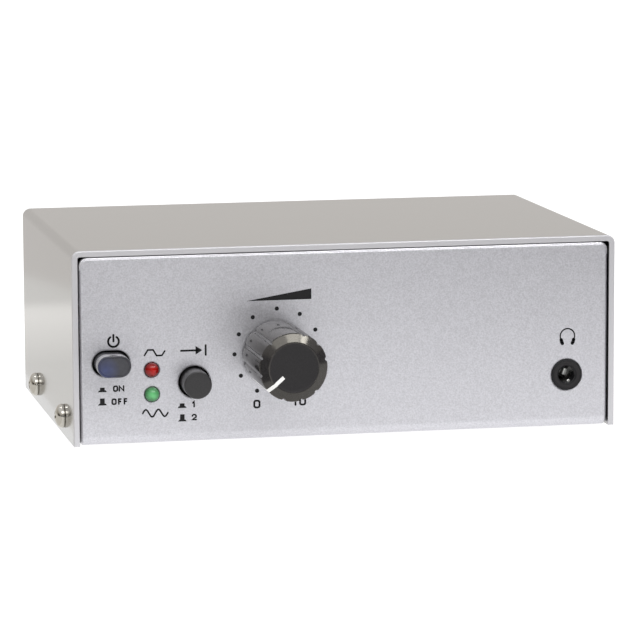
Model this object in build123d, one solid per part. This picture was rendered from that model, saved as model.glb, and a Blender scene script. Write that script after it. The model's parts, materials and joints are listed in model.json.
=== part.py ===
from build123d import *
import math
import os

# A small desktop phono preamplifier: a bent tray carries the board, the
# controls and the sockets, and a bent cover is screwed over it.
# Sizes are in millimetres. X points right and Y to the back as seen from the
# front, Z points up. Until the last step the front edge of the cover is at
# y = 0, the underside of the tray at z = 0 and the middle of the case at x = 0.

# Sheet metal case
CASE_WIDTH = 113.8
CASE_DEPTH = 76.6
HEADROOM = 6.1  # free height above the tallest piece on the board
SHEET = 1.2
COVER_BEND = 1.7  # outside radius of the cover's folds
TRAY_BEND = 1.9  # outside radius of the tray's folds
SIDE_GAP = 0.3  # between the tray's edges and the cover's walls
TOP_GAP = 0.15  # between the panels' top edges and the cover
PANEL_RECESS = 0.2  # how far both panels sit behind the cover's edges
PANEL_CORNER = 1.7
TRAY_EDGE_BREAK = 0.45
COVER_EDGE_BREAK = 0.15

# Side screws and the tray's tabs that take them
FRONT_SCREW_Y = 14.8
REAR_SCREW_FROM_BACK = 20.6
SCREW_HEIGHT = 3.95
SCREW_SHANK_RADIUS = 1.25
SCREW_SHANK_LENGTH = 5.0
SCREW_HEAD_RADIUS = 2.5
SCREW_HEAD_HEIGHT = 1.9
SCREW_HOLE_CLEARANCE = 0.25
TAB_WIDTH = 11.0
TAB_HEIGHT = 8.0
TAB_RELIEF = 0.8

# Rubber feet
FOOT_RADIUS = 4.0
FOOT_HEIGHT = 1.4
FOOT_INSET = 13.5

# Main board on its standoffs
BOARD_THICKNESS = 1.6
BOARD_GAP = 1.6  # around the board, to the tray's walls and tabs
STANDOFF_HEIGHT = 4.4
STANDOFF_FLATS = 5.0
STANDOFF_FOOT_FLATS = 4.2  # pressed into the tray's base
STANDOFF_INSET = 10.7  # from the cover's outside, along X
FRONT_STANDOFF_Y = 33.0
REAR_STANDOFF_FROM_BACK = 18.5
BOARD_SCREW_RADIUS = 1.2
BOARD_SCREW_FLATS = 4.0
BOARD_SCREW_HEAD_HEIGHT = 1.5
BOARD_HOLE_RADIUS = 1.4

# Controls along the front panel, left to right
POWER_FROM_EDGE = 7.85
LAMPS_FROM_POWER = 8.35
INPUT_FROM_LAMPS = 8.75
GAIN_FROM_INPUT = 16.9
PHONES_FROM_EDGE = 10.2
POWER_ABOVE_BOARD = 9.65
RED_LAMP_ABOVE_BOARD = 8.05
GREEN_LAMP_ABOVE_BOARD = 3.0
INPUT_ABOVE_BOARD = 5.25
GAIN_ABOVE_BOARD = 10.5
PHONES_ABOVE_BOARD = 3.8

# Push buttons and their latching switches
BUTTON_TRAVEL = 2.5
BUTTON_REACH = 4.5  # from the case's front plane to the cap's face
BUTTON_GAP = 0.45  # around a cap in its hole
CAP_LENGTH = 7.9
CAP_EDGE = 0.3
POWER_CAP_WIDTH = 6.9
POWER_CAP_HEIGHT = 4.5
POWER_CAP_RIM = 0.55
POWER_CAP_DISH = 0.15
INPUT_CAP_RADIUS = 2.85
PLUNGER_SIDE = 3.0
PLUNGER_GRIP = 4.0  # how deep the plunger sits in its cap
PLUNGER_GUIDE = 4.5  # how deep the plunger sits in its switch, at rest
PLUNGER_GAP = 0.25
SWITCH_SPACE = 3.4  # from the cap to the switch, at rest
SWITCH_END_GAP = 0.8
SWITCH_CHAMFER = 0.5
POWER_SWITCH_WIDTH = 9.6
POWER_SWITCH_DEPTH = 15.0
POWER_SWITCH_TOP = 4.3  # from the plunger's axis up
INPUT_SWITCH_WIDTH = 8.2
INPUT_SWITCH_DEPTH = 12.0
INPUT_SWITCH_TOP = 3.4

# Lamps and their holder
LAMP_RADIUS = 1.5
LAMP_PROUD = 1.2  # from the panel's face to the lamp's tip
LAMP_TIP = 0.6  # of the slope around the tip
LAMP_BODY = 5.4
LAMP_GAP = 0.1
HOLDER_WIDTH = 4.8
HOLDER_DEPTH = 1.6
HOLDER_TOP = 2.5
LEAD = 0.5
LEAD_PITCH = 2.54
LEAD_STEP = 1.3  # between the two lamps' leads behind the holder

# Gain potentiometer and its knob
POT_RADIUS = 8.2
POT_PLATE = 1.0
POT_DEPTH = 10.5
POT_BASE_WIDTH = 13.0
POT_BASE_DEPTH = 6.0
BUSHING_RADIUS = 3.5
BUSHING_PROUD = 4.2
BUSHING_GAP = 0.1
SHAFT_RADIUS = 3.0
SHAFT_RUNNING_GAP = 0.05
SHAFT_INSIDE = 6.0
SHAFT_FLAT = 1.5  # from the axis to the flat
SHAFT_GRIP = 9.5  # how deep the shaft sits in the knob's boss
WASHER_THICKNESS = 0.5
WASHER_RADIUS = 5.0
POT_NUT_FLATS = 9.0
POT_NUT_THICKNESS = 2.0
KNOB_NUT_GAP = 0.45
KNOB_WALL = 1.35
KNOB_GAP = 1.0  # between the knob and the panel
KNOB_LENGTH = 17.7  # from its back edge to the outer edge of its chamfer
KNOB_CHAMFER = 1.9
KNOB_CHAMFER_DEPTH = 1.0
KNOB_DISH = 0.25
KNOB_DISH_SLOPE = 0.5
BOSS_WALL = 1.3
BOSS_GAP = 0.5  # between the boss and the end of the bushing
KNOB_FRONT_WALL = 2.4
KNOB_RIB = 0.9
KNOB_RIBS = 3
FLUTE_PLACES = 12
FLUTE_GROUP = 4  # one place in each group is plain, and the pointer is on such a place
FLUTE_TURN = -1.5  # of the flutes' places from the pointer
FLUTE_WIDTH = 0.8
FLUTE_DEPTH = 0.45
POINTER_ANGLE = -131.0  # from straight up, clockwise seen from the front
POINTER_WIDTH = 0.85
POINTER_DEPTH = 0.35
POINTER_START = 2.85

# Headphone jack, for a 3.5 mm plug
JACK_NOSE_RADIUS = 3.2
JACK_NOSE_PROUD = 0.3
JACK_GAP = 0.1
JACK_BORE_RADIUS = 1.8
JACK_BORE_DEPTH = 14.2
JACK_COUNTERSINK = 0.45
JACK_BODY_WIDTH = 9.6
JACK_END_WALL = 1.2
JACK_EDGE = 0.25
CONTACT_WIDTH = 1.2
CONTACT_SLOT = 1.6
CONTACT_HALF_LENGTH = 1.7
CONTACT_SHEET = 0.3
CONTACT_RISE = 1.1
CONTACT_CLEARANCE = 0.1  # from the bore to the contacts and around them
SLEEVE_CONTACT_DEPTH = 3.8
RING_CONTACT_DEPTH = 7.6
TIP_CONTACT_DEPTH = 11.6

# Stacked phono sockets at the back
GROUND_FROM_EDGE = 15.7
INPUTS_FROM_GROUND = 17.0
OUTPUTS_FROM_INPUTS = 18.0
SOCKET_ABOVE_BOARD = 6.2
SOCKET_PITCH = 14.0
SOCKET_TOP = 5.3
SOCKET_BLOCK_WIDTH = 10.6
SOCKET_BLOCK_DEPTH = 10.5
COLLAR_WALL = 0.75
COLLAR_PROUD = 0.8
COLLAR_HOLE_GAP = 0.2
SHELL_RADIUS = 4.15
SHELL_WALL = 0.7
SHELL_LENGTH = 8.4  # beyond the collar
INSERT_RECESS = 0.5
INSERT_SEAT = 4.0  # inside the block
CENTRE_RADIUS = 1.65
CENTRE_WALL = 0.45
CENTRE_LENGTH = 8.5
CENTRE_RECESS = 0.3

# Earth post beside the sockets
GROUND_ABOVE_BOARD = 6.2
STUD_RADIUS = 2.0
STUD_PROUD = 10.5
STUD_GAP = 0.1
STUD_CHAMFER = 0.4
LOCK_NUT_FLATS = 7.0
LOCK_NUT_THICKNESS = 3.0
STUD_BACK = 1.0
FLANGE_RADIUS = 4.4
FLANGE_THICKNESS = 0.8
THUMB_NUT_RADIUS = 4.6
THUMB_NUT_LENGTH = 4.8
THUMB_NUT_NECK_RADIUS = 3.3
THUMB_NUT_NECK = 1.2
THUMB_NUT_GAP = 0.1
THUMB_NUT_BORE_GAP = 0.05
KNURLS = 18
KNURL_DEPTH = 0.35

# USB-B socket
DC_FROM_EDGE = 9.7
USB_FROM_DC = 20.0
USB_WIDTH = 12.0
USB_HEIGHT = 11.0
USB_DEPTH = 16.0
USB_PROUD = 0.5
USB_SHELL_WALL = 0.4
USB_CORNER = 0.8
USB_HOLE_GAP = 0.2
USB_MOUTH_WIDTH = 8.5
USB_MOUTH_HEIGHT = 7.8
USB_MOUTH_CHAMFER = 1.6
USB_MOUTH_DEPTH = 9.2
USB_INSULATOR_RECESS = 0.4
USB_TONGUE_WIDTH = 5.6
USB_TONGUE_HEIGHT = 3.2
USB_TONGUE_SHORT = 0.8
USB_PAD_WIDTH = 1.0
USB_PAD_LENGTH = 6.0
USB_PAD_THICKNESS = 0.15
USB_PAD_PITCH = 2.5

# DC inlet for a 5.5 mm barrel plug with a 2.1 mm hole
DC_WIDTH = 9.0
DC_HEIGHT = 11.0
DC_DEPTH = 13.0
DC_ABOVE_BOARD = 6.5
DC_NOSE_RADIUS = 4.0
DC_NOSE_PROUD = 0.3
DC_NOSE_GAP = 0.15
DC_BORE_RADIUS = 3.0
DC_BORE_DEPTH = 9.5
DC_PIN_RADIUS = 1.0
DC_PIN_SHORT = 0.8
DC_PIN_POINT = 0.3
DC_EDGE = 0.4

# Parts on the board
LARGE_CAP_RADIUS = 4.0
LARGE_CAP_HEIGHT = 11.5
SMALL_CAP_RADIUS = 2.5
SMALL_CAP_HEIGHT = 9.0
CAP_SPACING = 1.4
FILM_CAP_LENGTH = 7.2
FILM_CAP_WIDTH = 2.6
FILM_CAP_HEIGHT = 6.5
CHIP_LENGTH = 9.4
CHIP_WIDTH = 6.4
CHIP_HEIGHT = 3.3
CHIP_STANDOFF = 0.5
CHIP_PITCH = 2.54
CHIP_LEG = 0.5
CONVERTER_LENGTH = 10.2
CONVERTER_WIDTH = 5.4
CONVERTER_HEIGHT = 1.7
CONVERTER_LEG = 0.35
CONVERTER_PITCH = 1.27
CRYSTAL_LENGTH = 10.8
CRYSTAL_WIDTH = 4.4
CRYSTAL_HEIGHT = 3.8
REGULATOR_WIDTH = 10.0
REGULATOR_THICKNESS = 4.4
REGULATOR_HEIGHT = 9.0
REGULATOR_LEGS = 3.2
REGULATOR_LEG_WIDTH = 0.9
REGULATOR_LEG_SHEET = 0.45
REGULATOR_TAB = 1.3
REGULATOR_TAB_HEIGHT = 6.0
REGULATOR_HOLE = 1.8
RESISTOR_LENGTH = 2.0
RESISTOR_WIDTH = 1.25
RESISTOR_HEIGHT = 0.6
RESISTOR_SPACING = 2.5
RESISTORS = 8
PART_SPACING = 3.0

# Planes and places that follow from the sizes above
BOARD_TOP = SHEET + STANDOFF_HEIGHT + BOARD_THICKNESS
SOCKET_BLOCK_HEIGHT = SOCKET_ABOVE_BOARD + SOCKET_PITCH + SOCKET_TOP
CASE_HEIGHT = BOARD_TOP + SOCKET_BLOCK_HEIGHT + HEADROOM + SHEET
TRAY_WIDTH = CASE_WIDTH - 2 * (SHEET + SIDE_GAP)
TRAY_DEPTH = CASE_DEPTH - 2 * PANEL_RECESS
TRAY_HEIGHT = CASE_HEIGHT - SHEET - TOP_GAP
PANEL_FACE = PANEL_RECESS
PANEL_BACK = PANEL_FACE + SHEET
REAR_FACE = CASE_DEPTH - PANEL_RECESS
REAR_INSIDE = REAR_FACE - SHEET
SCREW_ROWS = (FRONT_SCREW_Y, CASE_DEPTH - REAR_SCREW_FROM_BACK)
STANDOFF_X = CASE_WIDTH / 2 - STANDOFF_INSET
STANDOFF_ROWS = (FRONT_STANDOFF_Y, CASE_DEPTH - REAR_STANDOFF_FROM_BACK)
STANDOFF_PLACES = [(x, y) for x in (-STANDOFF_X, STANDOFF_X) for y in STANDOFF_ROWS]
FOOT_X = CASE_WIDTH / 2 - FOOT_INSET
FOOT_PLACES = [(x, y) for x in (-FOOT_X, FOOT_X) for y in (FOOT_INSET, CASE_DEPTH - FOOT_INSET)]

POWER_X = POWER_FROM_EDGE - CASE_WIDTH / 2
LAMPS_X = POWER_X + LAMPS_FROM_POWER
INPUT_X = LAMPS_X + INPUT_FROM_LAMPS
GAIN_X = INPUT_X + GAIN_FROM_INPUT
PHONES_X = CASE_WIDTH / 2 - PHONES_FROM_EDGE
POWER_Z = BOARD_TOP + POWER_ABOVE_BOARD
RED_LAMP_Z = BOARD_TOP + RED_LAMP_ABOVE_BOARD
GREEN_LAMP_Z = BOARD_TOP + GREEN_LAMP_ABOVE_BOARD
INPUT_Z = BOARD_TOP + INPUT_ABOVE_BOARD
GAIN_Z = BOARD_TOP + GAIN_ABOVE_BOARD
PHONES_Z = BOARD_TOP + PHONES_ABOVE_BOARD

GROUND_X = CASE_WIDTH / 2 - GROUND_FROM_EDGE
INPUTS_X = GROUND_X - INPUTS_FROM_GROUND
OUTPUTS_X = INPUTS_X - OUTPUTS_FROM_INPUTS
DC_X = DC_FROM_EDGE - CASE_WIDTH / 2
USB_X = DC_X + USB_FROM_DC
LOW_SOCKET_Z = BOARD_TOP + SOCKET_ABOVE_BOARD
HIGH_SOCKET_Z = LOW_SOCKET_Z + SOCKET_PITCH
SOCKET_HEIGHTS = (LOW_SOCKET_Z, HIGH_SOCKET_Z)
GROUND_Z = BOARD_TOP + GROUND_ABOVE_BOARD
USB_Z = BOARD_TOP + USB_HEIGHT / 2
DC_Z = BOARD_TOP + DC_ABOVE_BOARD

CAP_FACE = -BUTTON_REACH
CAP_BACK = CAP_FACE + CAP_LENGTH
SWITCH_FRONT = CAP_BACK + SWITCH_SPACE
PLUNGER_END = SWITCH_FRONT + PLUNGER_GUIDE

WASHER_FRONT = PANEL_FACE - WASHER_THICKNESS
POT_NUT_FRONT = WASHER_FRONT - POT_NUT_THICKNESS
BUSHING_END = PANEL_FACE - BUSHING_PROUD
KNOB_CAVITY = POT_NUT_FLATS / math.sqrt(3) + KNOB_NUT_GAP
KNOB_RADIUS = KNOB_CAVITY + KNOB_WALL
KNOB_BACK = PANEL_FACE - KNOB_GAP
KNOB_RING = KNOB_BACK - KNOB_LENGTH
KNOB_FACE = KNOB_RING - KNOB_CHAMFER_DEPTH
BOSS_RADIUS = SHAFT_RADIUS + BOSS_WALL
BOSS_BACK = BUSHING_END - BOSS_GAP
SHAFT_END = BOSS_BACK - SHAFT_GRIP

JACK_FACE = PANEL_FACE - JACK_NOSE_PROUD
COLLAR_FACE = REAR_FACE + COLLAR_PROUD
SHELL_END = COLLAR_FACE + SHELL_LENGTH
INSERT_FACE = SHELL_END - INSERT_RECESS
INSERT_START = REAR_INSIDE - INSERT_SEAT
INSERT_RADIUS = SHELL_RADIUS - SHELL_WALL
CENTRE_FACE = INSERT_FACE - CENTRE_RECESS
STUD_END = REAR_FACE + STUD_PROUD
THUMB_NUT_FRONT = REAR_FACE + FLANGE_THICKNESS + THUMB_NUT_GAP
USB_FACE = REAR_FACE + USB_PROUD
USB_BACK = USB_FACE - USB_DEPTH
DC_FACE = REAR_FACE + DC_NOSE_PROUD
DC_BACK = REAR_INSIDE - DC_DEPTH

# The origin is on the ground, in the middle of the whole preamplifier
REAR_REACH = max(STUD_END, SHELL_END)
TO_ORIGIN = Pos(0, -(KNOB_FACE + REAR_REACH) / 2, FOOT_HEIGHT)


def facing_front(x, y, z):
    """A drawing plane that faces the front: its own x is X and its own y is Z."""
    return Plane(origin=(x, y, z), x_dir=(1, 0, 0), z_dir=(0, -1, 0))


def prism(outline, x, z, front, back):
    """The outline, drawn as seen from the front, made solid from front to back."""
    return extrude(facing_front(x, back, z) * outline, amount=back - front)


def rod(radius, x, z, front, back):
    return prism(Circle(radius), x, z, front, back)


def tube(outer, inner, x, z, front, back):
    return prism(Circle(outer) - Circle(inner), x, z, front, back)


def upright(outline, x, y, bottom, top):
    return extrude(Pos(x, y, bottom) * outline, amount=top - bottom)


def turned(points, x, z):
    """A solid turned about an axis along Y, from its (radius, y) corners."""
    profile = make_face(Polyline(*points, close=True))
    return Pos(x, 0, z) * revolve(profile, Axis.Y)


def hexagon(flats):
    return RegularPolygon(flats / math.sqrt(3), 6)


def cut_corners(width, height, corner):
    outline = Rectangle(width, height)
    return chamfer(outline.vertices(), corner)


def front_edges(solid):
    return solid.faces().sort_by(Axis.Y)[0].edges()


def back_edges(solid):
    return solid.faces().sort_by(Axis.Y)[-1].edges()


def top_edges(solid):
    return solid.faces().sort_by(Axis.Z)[-1].edges()


def channel(width, height, sheet, bend):
    """Section of a sheet bent up at both sides, its underside on y = 0."""
    outer = Pos(0, height / 2) * Rectangle(width, height)
    outer = fillet(outer.vertices().group_by(Axis.Y)[0], bend)
    inner = Pos(0, height / 2 + sheet) * Rectangle(width - 2 * sheet, height)
    inner = fillet(inner.vertices().group_by(Axis.Y)[0], bend - sheet)
    return outer - inner


def skin_edges(face):
    """The edges of a bent-up panel's outer face, but for the one at its bend."""
    bend = face.edges().filter_by(Axis.X).sort_by(Axis.Z)[0]
    return [edge for edge in face.edges() if (edge.center() - bend.center()).length > SHEET]


# ---- Case ----


def side_tabs():
    """Tabs bent up from the base's side edges, for the cover's screws."""
    section = channel(TRAY_WIDTH, TAB_HEIGHT, SHEET, TRAY_BEND)
    middle = Pos(0, TAB_HEIGHT / 2) * Rectangle(TRAY_WIDTH - 2 * TRAY_BEND, TAB_HEIGHT)
    strips = section - middle
    return [prism(strips, 0, 0, y - TAB_WIDTH / 2, y + TAB_WIDTH / 2) for y in SCREW_ROWS]


def tab_reliefs():
    half = TAB_WIDTH / 2 + TAB_RELIEF
    notch = Rectangle(2 * TRAY_BEND, 4 * SHEET)
    return [
        prism(notch, side * TRAY_WIDTH / 2, 0, y - half, y + half)
        for side in (-1, 1)
        for y in SCREW_ROWS
    ]


def across(radius, y, z):
    """A bar along X through both side walls."""
    return Pos(0, y, z) * Rot(0, 90, 0) * Cylinder(radius, 2 * CASE_WIDTH)


def front_panel_holes():
    power = SlotOverall(POWER_CAP_WIDTH + 2 * BUTTON_GAP, POWER_CAP_HEIGHT + 2 * BUTTON_GAP)
    outlines = [
        (power, POWER_X, POWER_Z),
        (Circle(LAMP_RADIUS + LAMP_GAP), LAMPS_X, RED_LAMP_Z),
        (Circle(LAMP_RADIUS + LAMP_GAP), LAMPS_X, GREEN_LAMP_Z),
        (Circle(INPUT_CAP_RADIUS + BUTTON_GAP), INPUT_X, INPUT_Z),
        (Circle(BUSHING_RADIUS + BUSHING_GAP), GAIN_X, GAIN_Z),
        (Circle(JACK_NOSE_RADIUS + JACK_GAP), PHONES_X, PHONES_Z),
    ]
    return [prism(o, x, z, PANEL_FACE - SHEET, PANEL_BACK + SHEET) for o, x, z in outlines]


def rear_panel_holes():
    collar = Circle(SHELL_RADIUS + COLLAR_WALL + COLLAR_HOLE_GAP)
    usb = cut_corners(USB_WIDTH + 2 * USB_HOLE_GAP, USB_HEIGHT + 2 * USB_HOLE_GAP, USB_CORNER)
    outlines = [(collar, x, z) for x in (OUTPUTS_X, INPUTS_X) for z in SOCKET_HEIGHTS]
    outlines += [
        (Circle(STUD_RADIUS + STUD_GAP), GROUND_X, GROUND_Z),
        (usb, USB_X, USB_Z),
        (Circle(DC_NOSE_RADIUS + DC_NOSE_GAP), DC_X, DC_Z),
    ]
    return [prism(o, x, z, REAR_INSIDE - SHEET, REAR_FACE + SHEET) for o, x, z in outlines]


def chassis_tray():
    section = Pos(CASE_DEPTH / 2, 0) * channel(TRAY_DEPTH, TRAY_HEIGHT, SHEET, TRAY_BEND)
    tray = extrude(Plane.YZ * section, amount=TRAY_WIDTH / 2, both=True)
    tray = fillet(tray.edges().filter_by(Axis.Y).group_by(Axis.Z)[-1], PANEL_CORNER)
    panels = tray.faces().sort_by(Axis.Y)
    skin = skin_edges(panels[0]) + skin_edges(panels[-1])
    tray = chamfer(skin, TRAY_EDGE_BREAK)
    for notch in tab_reliefs():
        tray -= notch
    for tabs in side_tabs():
        tray += tabs
    for y in SCREW_ROWS:
        tray -= across(SCREW_SHANK_RADIUS, y, SCREW_HEIGHT)
    for hole in front_panel_holes() + rear_panel_holes():
        tray -= hole
    for x, y in STANDOFF_PLACES:
        tray -= upright(hexagon(STANDOFF_FOOT_FLATS), x, y, -SHEET, 2 * SHEET)
    return tray


def top_cover():
    section = Pos(0, CASE_HEIGHT) * Rot(0, 0, 180) * channel(
        CASE_WIDTH, CASE_HEIGHT, SHEET, COVER_BEND
    )
    cover = prism(section, 0, 0, 0, CASE_DEPTH)
    ends = front_edges(cover) + back_edges(cover)
    outer = [
        edge
        for edge in ends
        if edge.center().Z > CASE_HEIGHT - SHEET / 2
        or abs(edge.center().X) > CASE_WIDTH / 2 - SHEET / 4
    ]
    cover = chamfer(outer, COVER_EDGE_BREAK)
    for y in SCREW_ROWS:
        cover -= across(SCREW_SHANK_RADIUS + SCREW_HOLE_CLEARANCE, y, SCREW_HEIGHT)
    return cover


def screw(head, head_height, shank_radius, shank_length):
    """A screw with its head standing on z = 0 and its shank below."""
    top = upright(head, 0, 0, 0, head_height)
    return top + upright(Circle(shank_radius), 0, 0, -shank_length, 0)


def cover_screws():
    head = Circle(SCREW_HEAD_RADIUS)
    fixing = screw(head, SCREW_HEAD_HEIGHT, SCREW_SHANK_RADIUS, SCREW_SHANK_LENGTH)
    return [
        Pos(side * CASE_WIDTH / 2, y, SCREW_HEIGHT) * Rot(0, side * 90, 0) * fixing
        for side in (-1, 1)
        for y in SCREW_ROWS
    ]


def rubber_feet():
    foot = Cylinder(FOOT_RADIUS, FOOT_HEIGHT, align=(Align.CENTER, Align.CENTER, Align.MAX))
    return [Pos(x, y, 0) * foot for x, y in FOOT_PLACES]


# ---- Board and its fixings ----


def main_board():
    half_width = TRAY_WIDTH / 2 - SHEET - BOARD_GAP
    front = PANEL_BACK + BOARD_GAP
    back = REAR_INSIDE - BOARD_GAP
    outline = Rectangle(2 * half_width, back - front)
    board = upright(outline, 0, (front + back) / 2, BOARD_TOP - BOARD_THICKNESS, BOARD_TOP)
    for x, y in STANDOFF_PLACES:
        board -= upright(Circle(BOARD_HOLE_RADIUS), x, y, 0, 2 * BOARD_TOP)
    return board


def board_standoffs():
    """Hexagonal posts in the base; the screws' threaded ends are one with them."""
    post = upright(hexagon(STANDOFF_FLATS), 0, 0, SHEET, SHEET + STANDOFF_HEIGHT)
    post += upright(hexagon(STANDOFF_FOOT_FLATS), 0, 0, 0, SHEET)
    return [Pos(x, y, 0) * post for x, y in STANDOFF_PLACES]


def board_screws():
    head = hexagon(BOARD_SCREW_FLATS)
    fixing = screw(head, BOARD_SCREW_HEAD_HEIGHT, BOARD_SCREW_RADIUS, BOARD_THICKNESS)
    return [Pos(x, y, BOARD_TOP) * fixing for x, y in STANDOFF_PLACES]


# ---- Gain control ----


def gain_pot_body():
    front = PANEL_BACK + POT_PLATE
    back = PANEL_BACK + POT_DEPTH
    can = rod(POT_RADIUS, GAIN_X, GAIN_Z, front, back)
    foot = Rectangle(POT_BASE_WIDTH, GAIN_ABOVE_BOARD, align=(Align.CENTER, Align.MAX))
    can += prism(foot, GAIN_X, GAIN_Z, front, front + POT_BASE_DEPTH)
    well = SHAFT_RADIUS + 2 * SHAFT_RUNNING_GAP
    end = PANEL_BACK + SHAFT_INSIDE + SHAFT_RUNNING_GAP
    return can - rod(well, GAIN_X, GAIN_Z, front, end)


def gain_pot_bushing():
    square = Rectangle(POT_BASE_WIDTH, POT_BASE_WIDTH)
    plate = prism(square, GAIN_X, GAIN_Z, PANEL_BACK, PANEL_BACK + POT_PLATE)
    thread = rod(BUSHING_RADIUS, GAIN_X, GAIN_Z, BUSHING_END, PANEL_BACK)
    bore = SHAFT_RADIUS + SHAFT_RUNNING_GAP
    return plate + thread - rod(bore, GAIN_X, GAIN_Z, BUSHING_END, PANEL_BACK + POT_PLATE)


def gain_pot_washer():
    return tube(WASHER_RADIUS, BUSHING_RADIUS, GAIN_X, GAIN_Z, WASHER_FRONT, PANEL_FACE)


def gain_pot_nut():
    outline = hexagon(POT_NUT_FLATS) - Circle(BUSHING_RADIUS)
    return prism(outline, GAIN_X, GAIN_Z, POT_NUT_FRONT, WASHER_FRONT)


def shaft_section():
    flat = Pos(0, SHAFT_FLAT) * Rectangle(
        2 * SHAFT_RADIUS, SHAFT_RADIUS, align=(Align.CENTER, Align.MIN)
    )
    return Rot(0, 0, -POINTER_ANGLE) * (Circle(SHAFT_RADIUS) - flat)


def gain_pot_shaft():
    shaft = rod(SHAFT_RADIUS, GAIN_X, GAIN_Z, BOSS_BACK, PANEL_BACK + SHAFT_INSIDE)
    return shaft + prism(shaft_section(), GAIN_X, GAIN_Z, SHAFT_END, BOSS_BACK)


def knob_form(inset):
    """The knob without its flutes, with its outer skin set in by a distance."""
    radius = KNOB_RADIUS - inset
    ring = KNOB_RING + inset
    face = KNOB_FACE + inset
    rim = KNOB_RADIUS - KNOB_CHAMFER - inset
    floor = rim - KNOB_DISH_SLOPE
    corners = [
        (0, KNOB_BACK),
        (radius, KNOB_BACK),
        (radius, ring),
        (rim, face),
        (floor, face + KNOB_DISH),
        (0, face + KNOB_DISH),
    ]
    return turned(corners, GAIN_X, GAIN_Z)


def knob_hollow():
    """The open back of the moulding: room for the nut, and a boss held by ribs."""
    deep = KNOB_FACE + KNOB_DISH + KNOB_FRONT_WALL
    ring = Circle(KNOB_CAVITY) - Circle(BOSS_RADIUS)
    for rib in range(KNOB_RIBS):
        ring -= Rot(0, 0, rib * 360 / KNOB_RIBS) * Pos(KNOB_RADIUS / 2, 0) * Rectangle(
            KNOB_RADIUS, KNOB_RIB
        )
    hollow = prism(ring, GAIN_X, GAIN_Z, deep, KNOB_BACK)
    return hollow + rod(KNOB_CAVITY, GAIN_X, GAIN_Z, BOSS_BACK, KNOB_BACK)


def knob_slab(start, width, angle):
    """A slab along the knob from a radius outwards, turned clockwise from straight up."""
    slab = Rectangle(width, 2 * KNOB_RADIUS, align=(Align.CENTER, Align.MIN))
    slab = Rot(0, 0, -angle) * Pos(0, start) * slab
    return prism(slab, GAIN_X, GAIN_Z, 2 * KNOB_FACE, KNOB_BACK)


def pointer():
    """The white line: a strip let into the knob's face, chamfer and side."""
    line = knob_form(0) & knob_slab(POINTER_START, POINTER_WIDTH, POINTER_ANGLE)
    return line - knob_form(POINTER_DEPTH)


def gain_knob():
    knob = knob_form(0)
    for place in range(FLUTE_PLACES):
        if place % FLUTE_GROUP > 0:
            angle = POINTER_ANGLE + FLUTE_TURN + place * 360 / FLUTE_PLACES
            knob -= knob_slab(KNOB_RADIUS - FLUTE_DEPTH, FLUTE_WIDTH, angle)
    knob -= knob_hollow()
    knob -= prism(shaft_section(), GAIN_X, GAIN_Z, SHAFT_END, BOSS_BACK)
    return knob - pointer()


# ---- Push buttons ----


def power_cap_outline(inset):
    return SlotOverall(POWER_CAP_WIDTH - 2 * inset, POWER_CAP_HEIGHT - 2 * inset)


def plunger_grip(x, z):
    side = Rectangle(PLUNGER_SIDE, PLUNGER_SIDE)
    return prism(side, x, z, CAP_BACK - PLUNGER_GRIP, CAP_BACK)


def power_button():
    cap = prism(power_cap_outline(0), POWER_X, POWER_Z, CAP_FACE, CAP_BACK)
    cap = chamfer(front_edges(cap), CAP_EDGE)
    dish = power_cap_outline(POWER_CAP_RIM)
    cap -= prism(dish, POWER_X, POWER_Z, CAP_FACE, CAP_FACE + POWER_CAP_DISH)
    return cap - plunger_grip(POWER_X, POWER_Z)


def input_button():
    cap = rod(INPUT_CAP_RADIUS, INPUT_X, INPUT_Z, CAP_FACE, CAP_BACK)
    cap = chamfer(front_edges(cap), CAP_EDGE)
    return cap - plunger_grip(INPUT_X, INPUT_Z)


def plunger(x, z):
    side = Rectangle(PLUNGER_SIDE, PLUNGER_SIDE)
    return prism(side, x, z, CAP_BACK - PLUNGER_GRIP, PLUNGER_END)


def switch_body(x, z, width, depth, above_axis):
    """A moulded switch standing on the board, with the plunger's way in its front."""
    height = z - BOARD_TOP + above_axis
    block = Pos(0, above_axis) * Rectangle(width, height, align=(Align.CENTER, Align.MAX))
    body = prism(block, x, z, SWITCH_FRONT, SWITCH_FRONT + depth)
    upper = top_edges(body).filter_by(Axis.Y)
    body = chamfer(upper, SWITCH_CHAMFER)
    way = Rectangle(PLUNGER_SIDE + 2 * PLUNGER_GAP, PLUNGER_SIDE + 2 * PLUNGER_GAP)
    end = PLUNGER_END + BUTTON_TRAVEL + SWITCH_END_GAP
    return body - prism(way, x, z, SWITCH_FRONT, end)


# ---- Lamps ----


LAMP_BACK = PANEL_FACE - LAMP_PROUD + LAMP_BODY
HOLDER_BACK = LAMP_BACK + HOLDER_DEPTH


def lamp(z):
    body = rod(LAMP_RADIUS, LAMPS_X, z, PANEL_FACE - LAMP_PROUD, LAMP_BACK)
    return chamfer(front_edges(body), LAMP_TIP)


def lamp_holder():
    """The moulding on the board that both lamps sit against."""
    height = RED_LAMP_ABOVE_BOARD + HOLDER_TOP
    outline = Rectangle(HOLDER_WIDTH, height, align=(Align.CENTER, Align.MIN))
    return prism(outline, LAMPS_X, BOARD_TOP, LAMP_BACK, HOLDER_BACK)


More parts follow.
